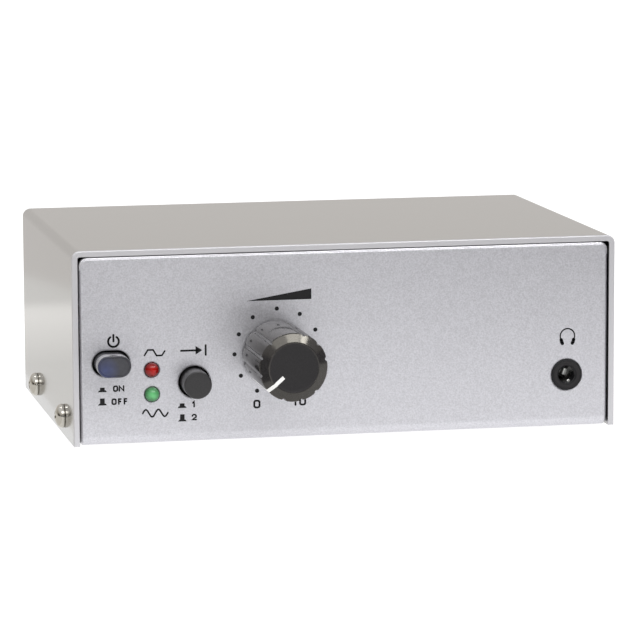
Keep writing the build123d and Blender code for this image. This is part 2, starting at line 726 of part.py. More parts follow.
def lamp_leads():
    """Two square leads to each lamp, bent down to the board behind the holder."""
    leads = []
    for z, turn in ((RED_LAMP_Z, 2 * LEAD_STEP), (GREEN_LAMP_Z, LEAD_STEP)):
        bend = Polyline(
            (HOLDER_BACK, z - LEAD / 2),
            (HOLDER_BACK + turn, z - LEAD / 2),
            (HOLDER_BACK + turn, BOARD_TOP),
            (HOLDER_BACK + turn + LEAD, BOARD_TOP),
            (HOLDER_BACK + turn + LEAD, z + LEAD / 2),
            (HOLDER_BACK, z + LEAD / 2),
            close=True,
        )
        lead = extrude(Plane.YZ * make_face(bend), amount=LEAD / 2, both=True)
        leads += [Pos(LAMPS_X + side * LEAD_PITCH / 2, 0, 0) * lead for side in (-1, 1)]
    return leads


# ---- Headphone jack ----


def jack_contacts():
    """The sleeve, ring and tip springs: (depth behind the mouth, side of the bore)."""
    return ((SLEEVE_CONTACT_DEPTH, 1), (RING_CONTACT_DEPTH, -1), (TIP_CONTACT_DEPTH, 1))


def headphone_jack_body():
    nose = rod(JACK_NOSE_RADIUS, PHONES_X, PHONES_Z, JACK_FACE, PANEL_BACK)
    nose = chamfer(front_edges(nose), JACK_EDGE)
    end = JACK_FACE + JACK_BORE_DEPTH + JACK_END_WALL
    block = Rectangle(JACK_BODY_WIDTH, 2 * PHONES_ABOVE_BOARD)
    body = nose + prism(block, PHONES_X, PHONES_Z, PANEL_BACK, end)
    body -= rod(JACK_BORE_RADIUS, PHONES_X, PHONES_Z, JACK_FACE, JACK_FACE + JACK_BORE_DEPTH)
    body -= turned(
        [
            (0, JACK_FACE),
            (JACK_BORE_RADIUS + JACK_COUNTERSINK, JACK_FACE),
            (JACK_BORE_RADIUS, JACK_FACE + JACK_COUNTERSINK),
            (0, JACK_FACE + JACK_COUNTERSINK),
        ],
        PHONES_X,
        PHONES_Z,
    )
    reach = CONTACT_HALF_LENGTH + CONTACT_CLEARANCE
    depth = JACK_BORE_RADIUS + CONTACT_RISE + CONTACT_SHEET + 3 * CONTACT_CLEARANCE
    for at, side in jack_contacts():
        slot = Pos(0, side * depth / 2) * Rectangle(CONTACT_SLOT, depth)
        body -= prism(slot, PHONES_X, PHONES_Z, JACK_FACE + at - reach, JACK_FACE + at + reach)
    return body


def headphone_jack_springs():
    low = JACK_BORE_RADIUS + CONTACT_CLEARANCE
    high = low + CONTACT_RISE
    springs = []
    for at, side in jack_contacts():
        y = JACK_FACE + at
        bend = Polyline(
            (y - CONTACT_HALF_LENGTH, PHONES_Z + side * high),
            (y, PHONES_Z + side * low),
            (y + CONTACT_HALF_LENGTH, PHONES_Z + side * high),
            (y + CONTACT_HALF_LENGTH, PHONES_Z + side * (high + CONTACT_SHEET)),
            (y, PHONES_Z + side * (low + CONTACT_SHEET)),
            (y - CONTACT_HALF_LENGTH, PHONES_Z + side * (high + CONTACT_SHEET)),
            close=True,
        )
        strip = extrude(Plane.YZ * make_face(bend), amount=CONTACT_WIDTH / 2, both=True)
        springs.append(Pos(PHONES_X, 0, 0) * strip)
    return springs


# ---- Phono sockets ----


def socket_block(x):
    outline = Rectangle(
        SOCKET_BLOCK_WIDTH, SOCKET_BLOCK_HEIGHT, align=(Align.CENTER, Align.MIN)
    )
    block = prism(outline, x, BOARD_TOP, REAR_INSIDE - SOCKET_BLOCK_DEPTH, REAR_INSIDE)
    for z in SOCKET_HEIGHTS:
        block += rod(SHELL_RADIUS + COLLAR_WALL, x, z, REAR_INSIDE, COLLAR_FACE)
    for z in SOCKET_HEIGHTS:
        block -= rod(INSERT_RADIUS, x, z, INSERT_START, COLLAR_FACE)
    return block


def socket_shells(x):
    return [
        tube(SHELL_RADIUS, INSERT_RADIUS, x, z, COLLAR_FACE, SHELL_END) for z in SOCKET_HEIGHTS
    ]


def socket_insert(x, z):
    insert = rod(INSERT_RADIUS, x, z, INSERT_START, INSERT_FACE)
    hole = CENTRE_RADIUS + CENTRE_WALL
    return insert - rod(hole, x, z, CENTRE_FACE - CENTRE_LENGTH, INSERT_FACE)


def socket_centres():
    outer = CENTRE_RADIUS + CENTRE_WALL
    start = CENTRE_FACE - CENTRE_LENGTH
    return [
        tube(outer, CENTRE_RADIUS, x, z, start, CENTRE_FACE)
        for x in (OUTPUTS_X, INPUTS_X)
        for z in SOCKET_HEIGHTS
    ]


# ---- Earth post ----


def ground_stud():
    start = REAR_INSIDE - LOCK_NUT_THICKNESS - STUD_BACK
    stud = rod(STUD_RADIUS, GROUND_X, GROUND_Z, start, STUD_END)
    return chamfer(back_edges(stud), STUD_CHAMFER)


def ground_lock_nut():
    outline = hexagon(LOCK_NUT_FLATS) - Circle(STUD_RADIUS)
    front = REAR_INSIDE - LOCK_NUT_THICKNESS
    return prism(outline, GROUND_X, GROUND_Z, front, REAR_INSIDE)


def ground_flange():
    back = REAR_FACE + FLANGE_THICKNESS
    return tube(FLANGE_RADIUS, STUD_RADIUS, GROUND_X, GROUND_Z, REAR_FACE, back)


def ground_thumb_nut():
    bore = STUD_RADIUS + THUMB_NUT_BORE_GAP
    knurled = THUMB_NUT_FRONT + THUMB_NUT_NECK
    back = knurled + THUMB_NUT_LENGTH
    nut = tube(THUMB_NUT_RADIUS, bore, GROUND_X, GROUND_Z, knurled, back)
    nut += tube(THUMB_NUT_NECK_RADIUS, bore, GROUND_X, GROUND_Z, THUMB_NUT_FRONT, knurled)
    side = 2 * KNURL_DEPTH * math.sqrt(0.5)
    groove = Rot(0, 0, 45) * Rectangle(side, side)
    for knurl in range(KNURLS):
        around = Rot(0, 0, knurl * 360 / KNURLS) * Pos(THUMB_NUT_RADIUS, 0) * groove
        nut -= prism(around, GROUND_X, GROUND_Z, knurled, back)
    return nut


# ---- USB socket and DC inlet ----


def usb_shell():
    inner = cut_corners(
        USB_WIDTH - 2 * USB_SHELL_WALL, USB_HEIGHT - 2 * USB_SHELL_WALL, USB_CORNER
    )
    wall = cut_corners(USB_WIDTH, USB_HEIGHT, USB_CORNER) - inner
    return prism(wall, USB_X, USB_Z, USB_BACK, USB_FACE)


def usb_insulator():
    """The moulding inside the shell, with the plug's way in and the tongue in it."""
    outline = cut_corners(
        USB_WIDTH - 2 * USB_SHELL_WALL, USB_HEIGHT - 2 * USB_SHELL_WALL, USB_CORNER
    )
    face = USB_FACE - USB_INSULATOR_RECESS
    block = prism(outline, USB_X, USB_Z, USB_BACK, face)
    mouth = Rectangle(USB_MOUTH_WIDTH, USB_MOUTH_HEIGHT)
    mouth = chamfer(mouth.vertices().group_by(Axis.Y)[-1], USB_MOUTH_CHAMFER)
    block -= prism(mouth, USB_X, USB_Z, face - USB_MOUTH_DEPTH, face)
    tongue = Rectangle(USB_TONGUE_WIDTH, USB_TONGUE_HEIGHT)
    floor = face - USB_MOUTH_DEPTH
    return block + prism(tongue, USB_X, USB_Z, floor, face - USB_TONGUE_SHORT)


def usb_pads():
    face = USB_FACE - USB_INSULATOR_RECESS - 2 * USB_TONGUE_SHORT
    pads = []
    for side in (-1, 1):
        for column in (-0.5, 0.5):
            pad = Rectangle(USB_PAD_WIDTH, USB_PAD_THICKNESS)
            x = USB_X + column * USB_PAD_PITCH
            z = USB_Z + side * (USB_TONGUE_HEIGHT + USB_PAD_THICKNESS) / 2
            pads.append(prism(pad, x, z, face - USB_PAD_LENGTH, face))
    return pads


def dc_inlet_body():
    outline = Pos(0, -DC_ABOVE_BOARD) * Rectangle(
        DC_WIDTH, DC_HEIGHT, align=(Align.CENTER, Align.MIN)
    )
    body = prism(outline, DC_X, DC_Z, DC_BACK, REAR_INSIDE)
    body = chamfer(top_edges(body).filter_by(Axis.Y), DC_EDGE)
    body += rod(DC_NOSE_RADIUS, DC_X, DC_Z, REAR_INSIDE, DC_FACE)
    return body - rod(DC_BORE_RADIUS, DC_X, DC_Z, DC_FACE - DC_BORE_DEPTH, DC_FACE)


def dc_inlet_pin():
    pin = rod(DC_PIN_RADIUS, DC_X, DC_Z, DC_FACE - DC_BORE_DEPTH, DC_FACE - DC_PIN_SHORT)
    return chamfer(back_edges(pin), DC_PIN_POINT)


# ---- Parts on the board ----


def can_capacitor(radius, height, x, y):
    return upright(Circle(radius), x, y, BOARD_TOP, BOARD_TOP + height)


LARGE_CAP_PITCH = 2 * LARGE_CAP_RADIUS + CAP_SPACING
SMALL_CAP_PITCH = 2 * SMALL_CAP_RADIUS + CAP_SPACING
SUPPLY_ROW = DC_BACK - BOARD_SCREW_FLATS / 2 - LARGE_CAP_RADIUS - 2 * PART_SPACING
AUDIO_ROW = PANEL_BACK + POT_DEPTH + PART_SPACING + CHIP_WIDTH
RESISTOR_ROW = AUDIO_ROW + CHIP_WIDTH / 2 + RESISTOR_LENGTH + PART_SPACING
FILTER_ROW = AUDIO_ROW + CHIP_WIDTH / 2 + FILM_CAP_LENGTH / 2 + PART_SPACING


def electrolytic_capacitors():
    large = [
        can_capacitor(LARGE_CAP_RADIUS, LARGE_CAP_HEIGHT, DC_X + step * LARGE_CAP_PITCH, SUPPLY_ROW)
        for step in (0, 1)
    ]
    small = [
        can_capacitor(
            SMALL_CAP_RADIUS, SMALL_CAP_HEIGHT, OUTPUTS_X + step * SMALL_CAP_PITCH, SUPPLY_ROW
        )
        for step in (0, 1)
    ]
    return large + small


def film_capacitors():
    outline = Rectangle(FILM_CAP_WIDTH, FILM_CAP_LENGTH)
    box = upright(outline, 0, 0, BOARD_TOP, BOARD_TOP + FILM_CAP_HEIGHT)
    pitch = FILM_CAP_WIDTH + CAP_SPACING
    return [Pos(GAIN_X + (step - 1.5) * pitch, FILTER_ROW, 0) * box for step in range(4)]


def dual_in_line(x, y):
    """An eight-leg chip lying along X, its legs bent down to the board."""
    base = BOARD_TOP + CHIP_STANDOFF
    chip = upright(Rectangle(CHIP_LENGTH, CHIP_WIDTH), x, y, base, base + CHIP_HEIGHT)
    chip = chamfer(top_edges(chip), CHIP_LEG)
    shoulder = base + CHIP_HEIGHT / 2
    for step in (-1.5, -0.5, 0.5, 1.5):
        for side in (-1, 1):
            leg = Pos(x + step * CHIP_PITCH, y + side * (CHIP_WIDTH + CHIP_LEG) / 2)
            chip += leg * upright(Rectangle(CHIP_LEG, CHIP_LEG), 0, 0, BOARD_TOP, shoulder)
    return chip


def amplifier_chips():
    pitch = CHIP_LENGTH + 2 * PART_SPACING
    return [dual_in_line(OUTPUTS_X + step * pitch, AUDIO_ROW) for step in (0, 1)]


def converter_chip():
    """The chip between the sockets and the USB lead, lying along Y."""
    y = USB_BACK - PART_SPACING - CONVERTER_LENGTH / 2
    base = BOARD_TOP + CONVERTER_LEG
    body = Rectangle(CONVERTER_WIDTH, CONVERTER_LENGTH)
    chip = upright(body, USB_X, y, base, base + CONVERTER_HEIGHT)
    for step in range(7):
        at = y + (step - 3) * CONVERTER_PITCH
        for side in (-1, 1):
            x = USB_X + side * (CONVERTER_WIDTH + 2 * CONVERTER_LEG) / 2
            leg = Rectangle(2 * CONVERTER_LEG, CONVERTER_LEG)
            chip += upright(leg, x, at, BOARD_TOP, base + CONVERTER_LEG)
    return chip


def crystal():
    x = USB_X + CONVERTER_WIDTH + CRYSTAL_WIDTH
    y = USB_BACK - PART_SPACING - CRYSTAL_LENGTH / 2
    outline = Rot(0, 0, 90) * SlotOverall(CRYSTAL_LENGTH, CRYSTAL_WIDTH)
    return upright(outline, x, y, BOARD_TOP, BOARD_TOP + CRYSTAL_HEIGHT)


def voltage_regulator():
    """An upright three-leg regulator with its cooling tab to the back."""
    x = DC_X + LARGE_CAP_PITCH
    y = SUPPLY_ROW - LARGE_CAP_RADIUS - PART_SPACING - REGULATOR_THICKNESS
    base = BOARD_TOP + REGULATOR_LEGS
    face = y + REGULATOR_THICKNESS / 2
    body = Pos(x, y, base + REGULATOR_HEIGHT / 2) * Box(
        REGULATOR_WIDTH, REGULATOR_THICKNESS, REGULATOR_HEIGHT
    )
    tab = Rectangle(
        REGULATOR_WIDTH, REGULATOR_HEIGHT + REGULATOR_TAB_HEIGHT, align=(Align.CENTER, Align.MIN)
    )
    hole = Pos(0, REGULATOR_HEIGHT + REGULATOR_TAB_HEIGHT / 2) * Circle(REGULATOR_HOLE)
    part = body + prism(tab - hole, x, base, face - REGULATOR_TAB, face)
    for step in (-1, 0, 1):
        leg = Rectangle(REGULATOR_LEG_WIDTH, REGULATOR_LEG_SHEET)
        part += upright(leg, x + step * CHIP_PITCH, y, BOARD_TOP, base)
    return part


def resistors():
    """A row of flat surface-mounted resistors, lying along Y."""
    chip = Rectangle(RESISTOR_WIDTH, RESISTOR_LENGTH)
    return [
        upright(
            chip, OUTPUTS_X + step * RESISTOR_SPACING, RESISTOR_ROW, BOARD_TOP,
            BOARD_TOP + RESISTOR_HEIGHT,
        )
        for step in range(RESISTORS)
    ]


parts = {
    "chassis_tray": [chassis_tray()],
    "top_cover": [top_cover()],
    "cover_screws": cover_screws(),
    "rubber_feet": rubber_feet(),
    "main_board": [main_board()],
    "board_standoffs": board_standoffs(),
    "board_screws": board_screws(),
    "gain_pot_body": [gain_pot_body()],
    "gain_pot_bushing": [gain_pot_bushing()],
    "gain_pot_washer": [gain_pot_washer()],
    "gain_pot_nut": [gain_pot_nut()],
    "gain_pot_shaft": [gain_pot_shaft()],
    "gain_knob": [gain_knob()],
    "knob_pointer": [pointer()],
    "power_button": [power_button()],
    "power_plunger": [plunger(POWER_X, POWER_Z)],
    "power_switch_body": [
        switch_body(POWER_X, POWER_Z, POWER_SWITCH_WIDTH, POWER_SWITCH_DEPTH, POWER_SWITCH_TOP)
    ],
    "input_button": [input_button()],
    "input_plunger": [plunger(INPUT_X, INPUT_Z)],
    "input_switch_body": [
        switch_body(INPUT_X, INPUT_Z, INPUT_SWITCH_WIDTH, INPUT_SWITCH_DEPTH, INPUT_SWITCH_TOP)
    ],
    "red_lamp": [lamp(RED_LAMP_Z)],
    "green_lamp": [lamp(GREEN_LAMP_Z)],
    "lamp_holder": [lamp_holder()],
    "lamp_leads": lamp_leads(),
    "headphone_jack_body": [headphone_jack_body()],
    "headphone_jack_springs": headphone_jack_springs(),
    "output_socket_block": [socket_block(OUTPUTS_X)],
    "output_socket_shells": socket_shells(OUTPUTS_X),
    "input_socket_block": [socket_block(INPUTS_X)],
    "input_socket_shells": socket_shells(INPUTS_X),
    "white_socket_inserts": [socket_insert(x, HIGH_SOCKET_Z) for x in (OUTPUTS_X, INPUTS_X)],
    "red_socket_inserts": [socket_insert(x, LOW_SOCKET_Z) for x in (OUTPUTS_X, INPUTS_X)],
    "socket_centre_contacts": socket_centres(),
    "ground_stud": [ground_stud()],
    "ground_lock_nut": [ground_lock_nut()],
    "ground_flange": [ground_flange()],
    "ground_thumb_nut": [ground_thumb_nut()],
    "usb_shell": [usb_shell()],
    "usb_insulator": [usb_insulator()],
    "usb_contacts": usb_pads(),
    "dc_inlet_body": [dc_inlet_body()],
    "dc_inlet_pin": [dc_inlet_pin()],
    "electrolytic_capacitors": electrolytic_capacitors(),
    "film_capacitors": film_capacitors(),
    "amplifier_chips": amplifier_chips(),
    "converter_chip": [converter_chip()],
    "crystal": [crystal()],
    "voltage_regulator": [voltage_regulator()],
    "resistors": resistors(),
}

os.makedirs("parts", exist_ok=True)
for name, solids in parts.items():
    placed = [TO_ORIGIN * solid for solid in solids]
    shape = placed[0] if len(placed) == 1 else Compound(placed)
    export_step(shape, f"parts/{name}.step")
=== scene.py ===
import json
import math

import bmesh
import bpy
from mathutils import Matrix, Vector

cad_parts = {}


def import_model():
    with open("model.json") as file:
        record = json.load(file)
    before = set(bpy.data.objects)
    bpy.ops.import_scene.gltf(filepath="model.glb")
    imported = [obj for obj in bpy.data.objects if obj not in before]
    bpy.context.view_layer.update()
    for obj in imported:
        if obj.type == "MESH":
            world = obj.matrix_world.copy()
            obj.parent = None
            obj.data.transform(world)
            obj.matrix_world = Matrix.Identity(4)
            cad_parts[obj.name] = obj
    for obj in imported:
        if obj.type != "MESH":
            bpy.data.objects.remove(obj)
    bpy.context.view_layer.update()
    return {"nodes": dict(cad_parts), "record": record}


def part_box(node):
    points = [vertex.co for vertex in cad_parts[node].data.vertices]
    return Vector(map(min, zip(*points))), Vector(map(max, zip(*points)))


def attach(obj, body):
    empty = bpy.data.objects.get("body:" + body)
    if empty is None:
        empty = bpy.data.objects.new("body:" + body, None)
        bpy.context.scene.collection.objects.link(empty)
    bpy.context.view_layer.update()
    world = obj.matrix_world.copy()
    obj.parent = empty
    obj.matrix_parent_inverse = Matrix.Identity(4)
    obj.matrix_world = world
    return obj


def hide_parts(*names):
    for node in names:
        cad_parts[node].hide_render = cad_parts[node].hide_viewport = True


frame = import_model()

# Lengths are in millimetres until they are placed in the frame, in metres.
# A place on the front panel is (x from the middle, z from the tray's underside),
# and depths count from the panel's face, with minus towards the front.
MM = 0.001
TRAY_LOW, TRAY_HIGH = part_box("chassis_tray")
COVER_LOW, COVER_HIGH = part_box("top_cover")


# ---- Mesh helpers ----


def on_panel(x, z, depth=0.0):
    """A place on the front panel as a point of the frame."""
    return Vector((x * MM, TRAY_LOW.y + depth * MM, TRAY_LOW.z + z * MM))


def bare_object(name, verts, faces):
    """A mesh object without a look."""
    mesh = bpy.data.meshes.new(name)
    mesh.from_pydata([tuple(v) for v in verts], [], faces)
    obj = bpy.data.objects.new(name, mesh)
    bpy.context.scene.collection.objects.link(obj)
    return obj


def piece(name, verts, faces, look, body, smooth_angle=35):
    """A mesh object that rides on a body, smooth but for its sharp edges."""
    obj = bare_object(name, verts, faces)
    mesh = obj.data
    mesh.materials.append(look)
    mesh.polygons.foreach_set("use_smooth", [True] * len(mesh.polygons))
    mesh.set_sharp_from_angle(angle=math.radians(smooth_angle))
    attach(obj, body)
    return obj


def loft(rings, start_cap=True, end_cap=True, closed=False):
    """Vertices and faces of a skin over rings that all have as many points."""
    count = len(rings[0])
    verts = [point for ring in rings for point in ring]
    faces = []
    for row in range(len(rings) if closed else len(rings) - 1):
        for step in range(count):
            after = (step + 1) % count
            low, high = row * count, (row + 1) % len(rings) * count
            faces.append((low + step, high + step, high + after, low + after))
    if start_cap and not closed:
        faces.append(tuple(range(count)))
    if end_cap and not closed:
        faces.append(tuple(reversed(range(len(verts) - count, len(verts)))))
    return verts, faces


def merged(shapes):
    """Several (vertices, faces) as one."""
    verts, faces = [], []
    for more_verts, more_faces in shapes:
        base = len(verts)
        verts += more_verts
        faces += [tuple(base + index for index in face) for face in more_faces]
    return verts, faces


def angles_round(count):
    """Evenly spaced angles all the way round."""
    return [step * 2 * math.pi / count for step in range(count)]


def circle(centre, radius, y, count):
    """A ring about an axis along Y, clockwise as seen from the front; metres."""
    return [
        Vector((centre.x + radius * math.sin(angle), y, centre.z + radius * math.cos(angle)))
        for angle in angles_round(count)
    ]


def turned(centre, profile, count=96, start_cap=True, end_cap=True):
    """A skin turned about an axis along Y from its (radius, y) corners, back to front."""
    return loft([circle(centre, r, y, count) for r, y in profile], start_cap, end_cap)


def quarter(radius, height, centre_radius, centre_y, steps=6):
    """Profile corners of a rounded front edge, from the side round to the face."""
    return [
        (
            centre_radius + radius * math.cos(step * math.pi / 2 / steps),
            centre_y - height * math.sin(step * math.pi / 2 / steps),
        )
        for step in range(steps + 1)
    ]


def middle_of(node):
    """The middle of a node's box."""
    low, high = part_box(node)
    return (low + high) / 2


# ---- Materials ----

GRAIN_DETAIL = 3.0
GRAIN_BAND = (0.3, 0.7)  # the noise levels between which the colour changes
EDGE_SAMPLES = 6
MIX_SOCKETS = {"RGBA": (6, 7, 2), "FLOAT": (2, 3, 0)}  # the two inputs and the result of a mix node


def surface(
    name, colour, roughness, grain=0.4, tint=0.05, relief=0.0, gloss_change=0.0, edge=0.0, **sockets
):
    """A material whose colour, gloss and height vary with a fine grain.

    Grain, relief and edge, the radius that its edges seem broken to, are in millimetres.
    Tint is the share by which the colour varies.
    """
    look = bpy.data.materials.new(name)
    look.use_nodes = True
    nodes, links = look.node_tree.nodes, look.node_tree.links
    shader = nodes["Principled BSDF"]
    place = nodes.new("ShaderNodeTexCoord")
    noise = nodes.new("ShaderNodeTexNoise")
    noise.inputs["Scale"].default_value = 1 / (grain * MM)
    noise.inputs["Detail"].default_value = GRAIN_DETAIL
    links.new(place.outputs["Object"], noise.inputs["Vector"])
    ramp = nodes.new("ShaderNodeValToRGB")
    darker = tuple(c * (1 - tint) for c in colour)
    lighter = tuple(min(1, c * (1 + tint)) for c in colour)
    for element, position, shade in zip(ramp.color_ramp.elements, GRAIN_BAND, (darker, lighter)):
        element.position = position
        element.color = shade + (1,)
    links.new(noise.outputs["Fac"], ramp.inputs["Fac"])
    links.new(ramp.outputs["Color"], shader.inputs["Base Color"])
    shader.inputs["Roughness"].default_value = roughness
    if gloss_change:
        spread = nodes.new("ShaderNodeMapRange")
        spread.inputs["To Min"].default_value = roughness - gloss_change
        spread.inputs["To Max"].default_value = roughness + gloss_change
        links.new(noise.outputs["Fac"], spread.inputs["Value"])
        links.new(spread.outputs["Result"], shader.inputs["Roughness"])
    if edge:
        bevel = nodes.new("ShaderNodeBevel")
        bevel.samples = EDGE_SAMPLES
        bevel.inputs["Radius"].default_value = edge * MM
        links.new(bevel.outputs["Normal"], shader.inputs["Normal"])
    if relief:
        bump = nodes.new("ShaderNodeBump")
        bump.inputs["Distance"].default_value = relief * MM
        links.new(noise.outputs["Fac"], bump.inputs["Height"])
        if edge:
            links.new(bevel.outputs["Normal"], bump.inputs["Normal"])
        links.new(bump.outputs["Normal"], shader.inputs["Normal"])
    for socket, value in sockets.items():
        shader.inputs[socket.replace("_", " ")].default_value = value
    return look


def metal(name, colour, roughness, **more):
    return surface(name, colour, roughness, Metallic=1.0, **more)


def painted_light_about(look, centre, reach, near, far, interpolation="EASE"):
    """A copy of a look with painted light and shade, its colour multiplied by near at the centre
    and by far past its reach.
    """
    look = look.copy()
    nodes, links = look.node_tree.nodes, look.node_tree.links
    shader = nodes["Principled BSDF"]
    place = nodes.new("ShaderNodeTexCoord")
    apart = nodes.new("ShaderNodeVectorMath")
    apart.operation = "DISTANCE"
    apart.inputs[1].default_value = centre
    spread = nodes.new("ShaderNodeMapRange")
    spread.inputs["From Max"].default_value = reach
    fade = nodes.new("ShaderNodeValToRGB")
    fade.color_ramp.interpolation = interpolation
    fade.color_ramp.elements[0].color = near + (1,)
    fade.color_ramp.elements[1].color = far + (1,)
    product = nodes.new("ShaderNodeMix")
    product.data_type = "RGBA"
    product.blend_type = "MULTIPLY"
    product.clamp_factor = False
    product.inputs["Factor"].default_value = 1.0
    first, second, result = MIX_SOCKETS["RGBA"]
    before = shader.inputs["Base Color"].links[0].from_socket
    links.new(place.outputs["Object"], apart.inputs[0])
    links.new(apart.outputs["Value"], spread.inputs["Value"])
    links.new(spread.outputs["Result"], fade.inputs["Fac"])
    links.new(before, product.inputs[first])
    links.new(fade.outputs["Color"], product.inputs[second])
    links.new(product.outputs[result], shader.inputs["Base Color"])
    return look


CUT_EDGE_DEPTH = 1.1
CUT_EDGE_COLOUR = (0.625, 0.62, 0.64)
CUT_EDGE_ROUGHNESS = 0.47


def blasted_front(look, start):
    """Turns the look's front edge, from y = start on, as rough and bright as the panel."""
    nodes, links = look.node_tree.nodes, look.node_tree.links
    shader = nodes["Principled BSDF"]
    place = nodes.new("ShaderNodeTexCoord")
    split = nodes.new("ShaderNodeSeparateXYZ")
    reach = nodes.new("ShaderNodeMapRange")
    reach.inputs["From Min"].default_value = start
    reach.inputs["From Max"].default_value = start + CUT_EDGE_DEPTH * MM
    links.new(place.outputs["Object"], split.inputs["Vector"])
    links.new(split.outputs["Y"], reach.inputs["Value"])
    for socket, kind, front in (
        ("Base Color", "RGBA", CUT_EDGE_COLOUR + (1,)), ("Roughness", "FLOAT", CUT_EDGE_ROUGHNESS),
    ):
        mix = nodes.new("ShaderNodeMix")
        mix.data_type = kind
        first, second, result = MIX_SOCKETS[kind]
        before = shader.inputs[socket].links[0].from_socket
        mix.inputs[first].default_value = front
        links.new(before, mix.inputs[second])
        links.new(reach.outputs["Result"], mix.inputs["Factor"])
        links.new(mix.outputs[result], shader.inputs[socket])


LOOKS = {
    "tray": metal(
        "blasted aluminium tray", (0.617, 0.614, 0.647), 0.41, grain=0.3, tint=0.12, relief=0.03,
        gloss_change=0.09, edge=0.5,
    ),
    "cover": metal(
        "satin aluminium cover", (0.5, 0.494, 0.482), 0.11, grain=0.3, tint=0.08, relief=0.002,
        gloss_change=0.03, edge=0.15, Specular_Tint=(0.82, 0.82, 0.82, 1),
    ),
    # The edge bead's metal is lighter than the panel: a painted highlight on a rounded edge.
    "edge": metal("edge bead, painted highlight", (0.82, 0.82, 0.84), 0.3, grain=0.25, tint=0.08, relief=0.002),
    "nickel": metal("bright nickel", (0.48, 0.46, 0.415), 0.12, grain=0.6, tint=0.04),
    "zinc": metal("zinc plate", (0.62, 0.62, 0.6), 0.32, grain=0.5, tint=0.08, relief=0.004),
    "brass": metal("nickelled brass", (0.75, 0.72, 0.64), 0.2, grain=0.8, tint=0.05),
    "gilt": metal("thin gilding", (0.83, 0.62, 0.26), 0.22, grain=0.5, tint=0.06),
    # The knob's Specular_Tint paints a warm gold tint into its reflections.
    "knob": surface(
        "moulded black knob", (0.017, 0.016, 0.017), 0.15, grain=0.5, tint=0.25, relief=0.0007,
        Specular_IOR_Level=0.55, Specular_Tint=(1.0, 0.95, 0.84, 1),
    ),
    "knob_face": surface(
        "satin black face", (0.015, 0.014, 0.015), 0.55, grain=0.25, tint=0.2, relief=0.006,
        Specular_IOR_Level=0.25,
    ),
    "white": surface("white line paint", (0.7, 0.7, 0.69), 0.45, grain=0.3, tint=0.03),
    # The clear cap's sides and face are one plastic. The sides are painted lighter, as painted
    # light of the panel seen through them, and the face is painted darker, as painted shade of the
    # dark inside seen through it.
    "smoke": surface(
        "smoky clear plastic, painted light", (0.12, 0.12, 0.13), 0.12, grain=1.5, tint=0.15,
        Coat_Weight=1.0, Coat_Roughness=0.05,
    ),
    "smoke_face_painted_dark": surface(
        "smoky clear face, painted dark", (0.028, 0.028, 0.034), 0.16, grain=1.5, tint=0.15,
        Specular_IOR_Level=0.3, Coat_Weight=0.3, Coat_Roughness=0.05,
    ),
    "black_cap": surface(
        "matt black cap", (0.02, 0.019, 0.02), 0.4, grain=0.2, tint=0.25, relief=0.006,
        Specular_IOR_Level=0.35, Coat_Weight=0.15, Coat_Roughness=0.15,
    ),
    "black": surface(
        "matt black plastic", (0.03, 0.03, 0.03), 0.55, grain=0.3, tint=0.2, relief=0.008,
    ),
    "black_gloss": surface(
        "glossy black plastic", (0.02, 0.02, 0.022), 0.22, grain=0.4, tint=0.2, relief=0.002,
    ),
    "white_plastic": surface("white plastic", (0.82, 0.82, 0.8), 0.35, grain=0.8, tint=0.03),
    "red_plastic": surface("red plastic", (0.62, 0.03, 0.03), 0.35, grain=0.8, tint=0.06),
    "red_lens": surface(
        "clear red resin", (0.3, 0.004, 0.002), 0.08, grain=0.9, tint=0.25,
        Specular_IOR_Level=0.05, Coat_Weight=0.7, Coat_Roughness=0.03,
    ),
    "green_lens": surface(
        "clear green resin", (0.1, 0.37, 0.14), 0.08, grain=0.9, tint=0.2,
        Specular_IOR_Level=0.05, Coat_Weight=0.7, Coat_Roughness=0.03,
    ),
    "rubber": surface("black rubber", (0.035, 0.035, 0.035), 0.8, grain=0.3, tint=0.2, relief=0.02),
    "laminate": surface("green board", (0.03, 0.2, 0.09), 0.35, grain=0.9, tint=0.15, relief=0.01),
    "blue_sleeve": surface("blue sleeve", (0.03, 0.05, 0.28), 0.3, grain=1.2, tint=0.1),
    "film_box": surface("red moulded box", (0.5, 0.07, 0.05), 0.4, grain=0.8, tint=0.1),
    "resistor": surface("black chip", (0.04, 0.04, 0.045), 0.4, grain=0.3, tint=0.2),
    # Also used as painted shadow on the jack ring's outer edge and inner lip.
    "ink": surface(
        "black print and painted jack shadow", (0.009, 0.009, 0.01), 0.6, grain=0.15, tint=0.35, Specular_IOR_Level=0.2,
    ),
    "jack_ring": surface(
        "moulded jack ring", (0.014, 0.013, 0.014), 0.3, grain=0.3, tint=0.25, relief=0.004,
        Specular_IOR_Level=0.25,
    ),
}

SLOT_LOOKS = {
    "case_aluminium": "cover",
    "bright_screws": "nickel",
    "zinc_steel": "zinc",
    "nickel_brass": "brass",
    "foot_rubber": "rubber",
    "board_laminate": "laminate",
    "black_matt_plastic": "black",
    "black_gloss_plastic": "black_gloss",
    "smoke_plastic": "smoke",
    "white_plastic": "white_plastic",
    "red_plastic": "red_plastic",
    "red_lens": "red_lens",
    "green_lens": "green_lens",
    "blue_sleeve": "blue_sleeve",
    "film_box": "film_box",
    "resistor_body": "resistor",
    "gilt_contact": "gilt",
}


def dress_nodes():
    """Every node of the frame gets the look of its material slot."""
    blasted_front(LOOKS["cover"], COVER_LOW.y)
    slot_of = {part["node"]: part["material_slot"] for part in frame["record"]["subparts"]}
    for name, obj in frame["nodes"].items():
        look = LOOKS["tray"] if name == "chassis_tray" else LOOKS[SLOT_LOOKS[slot_of[name]]]
        obj.data.materials.clear()
        obj.data.materials.append(look)


# ---- Knob ----

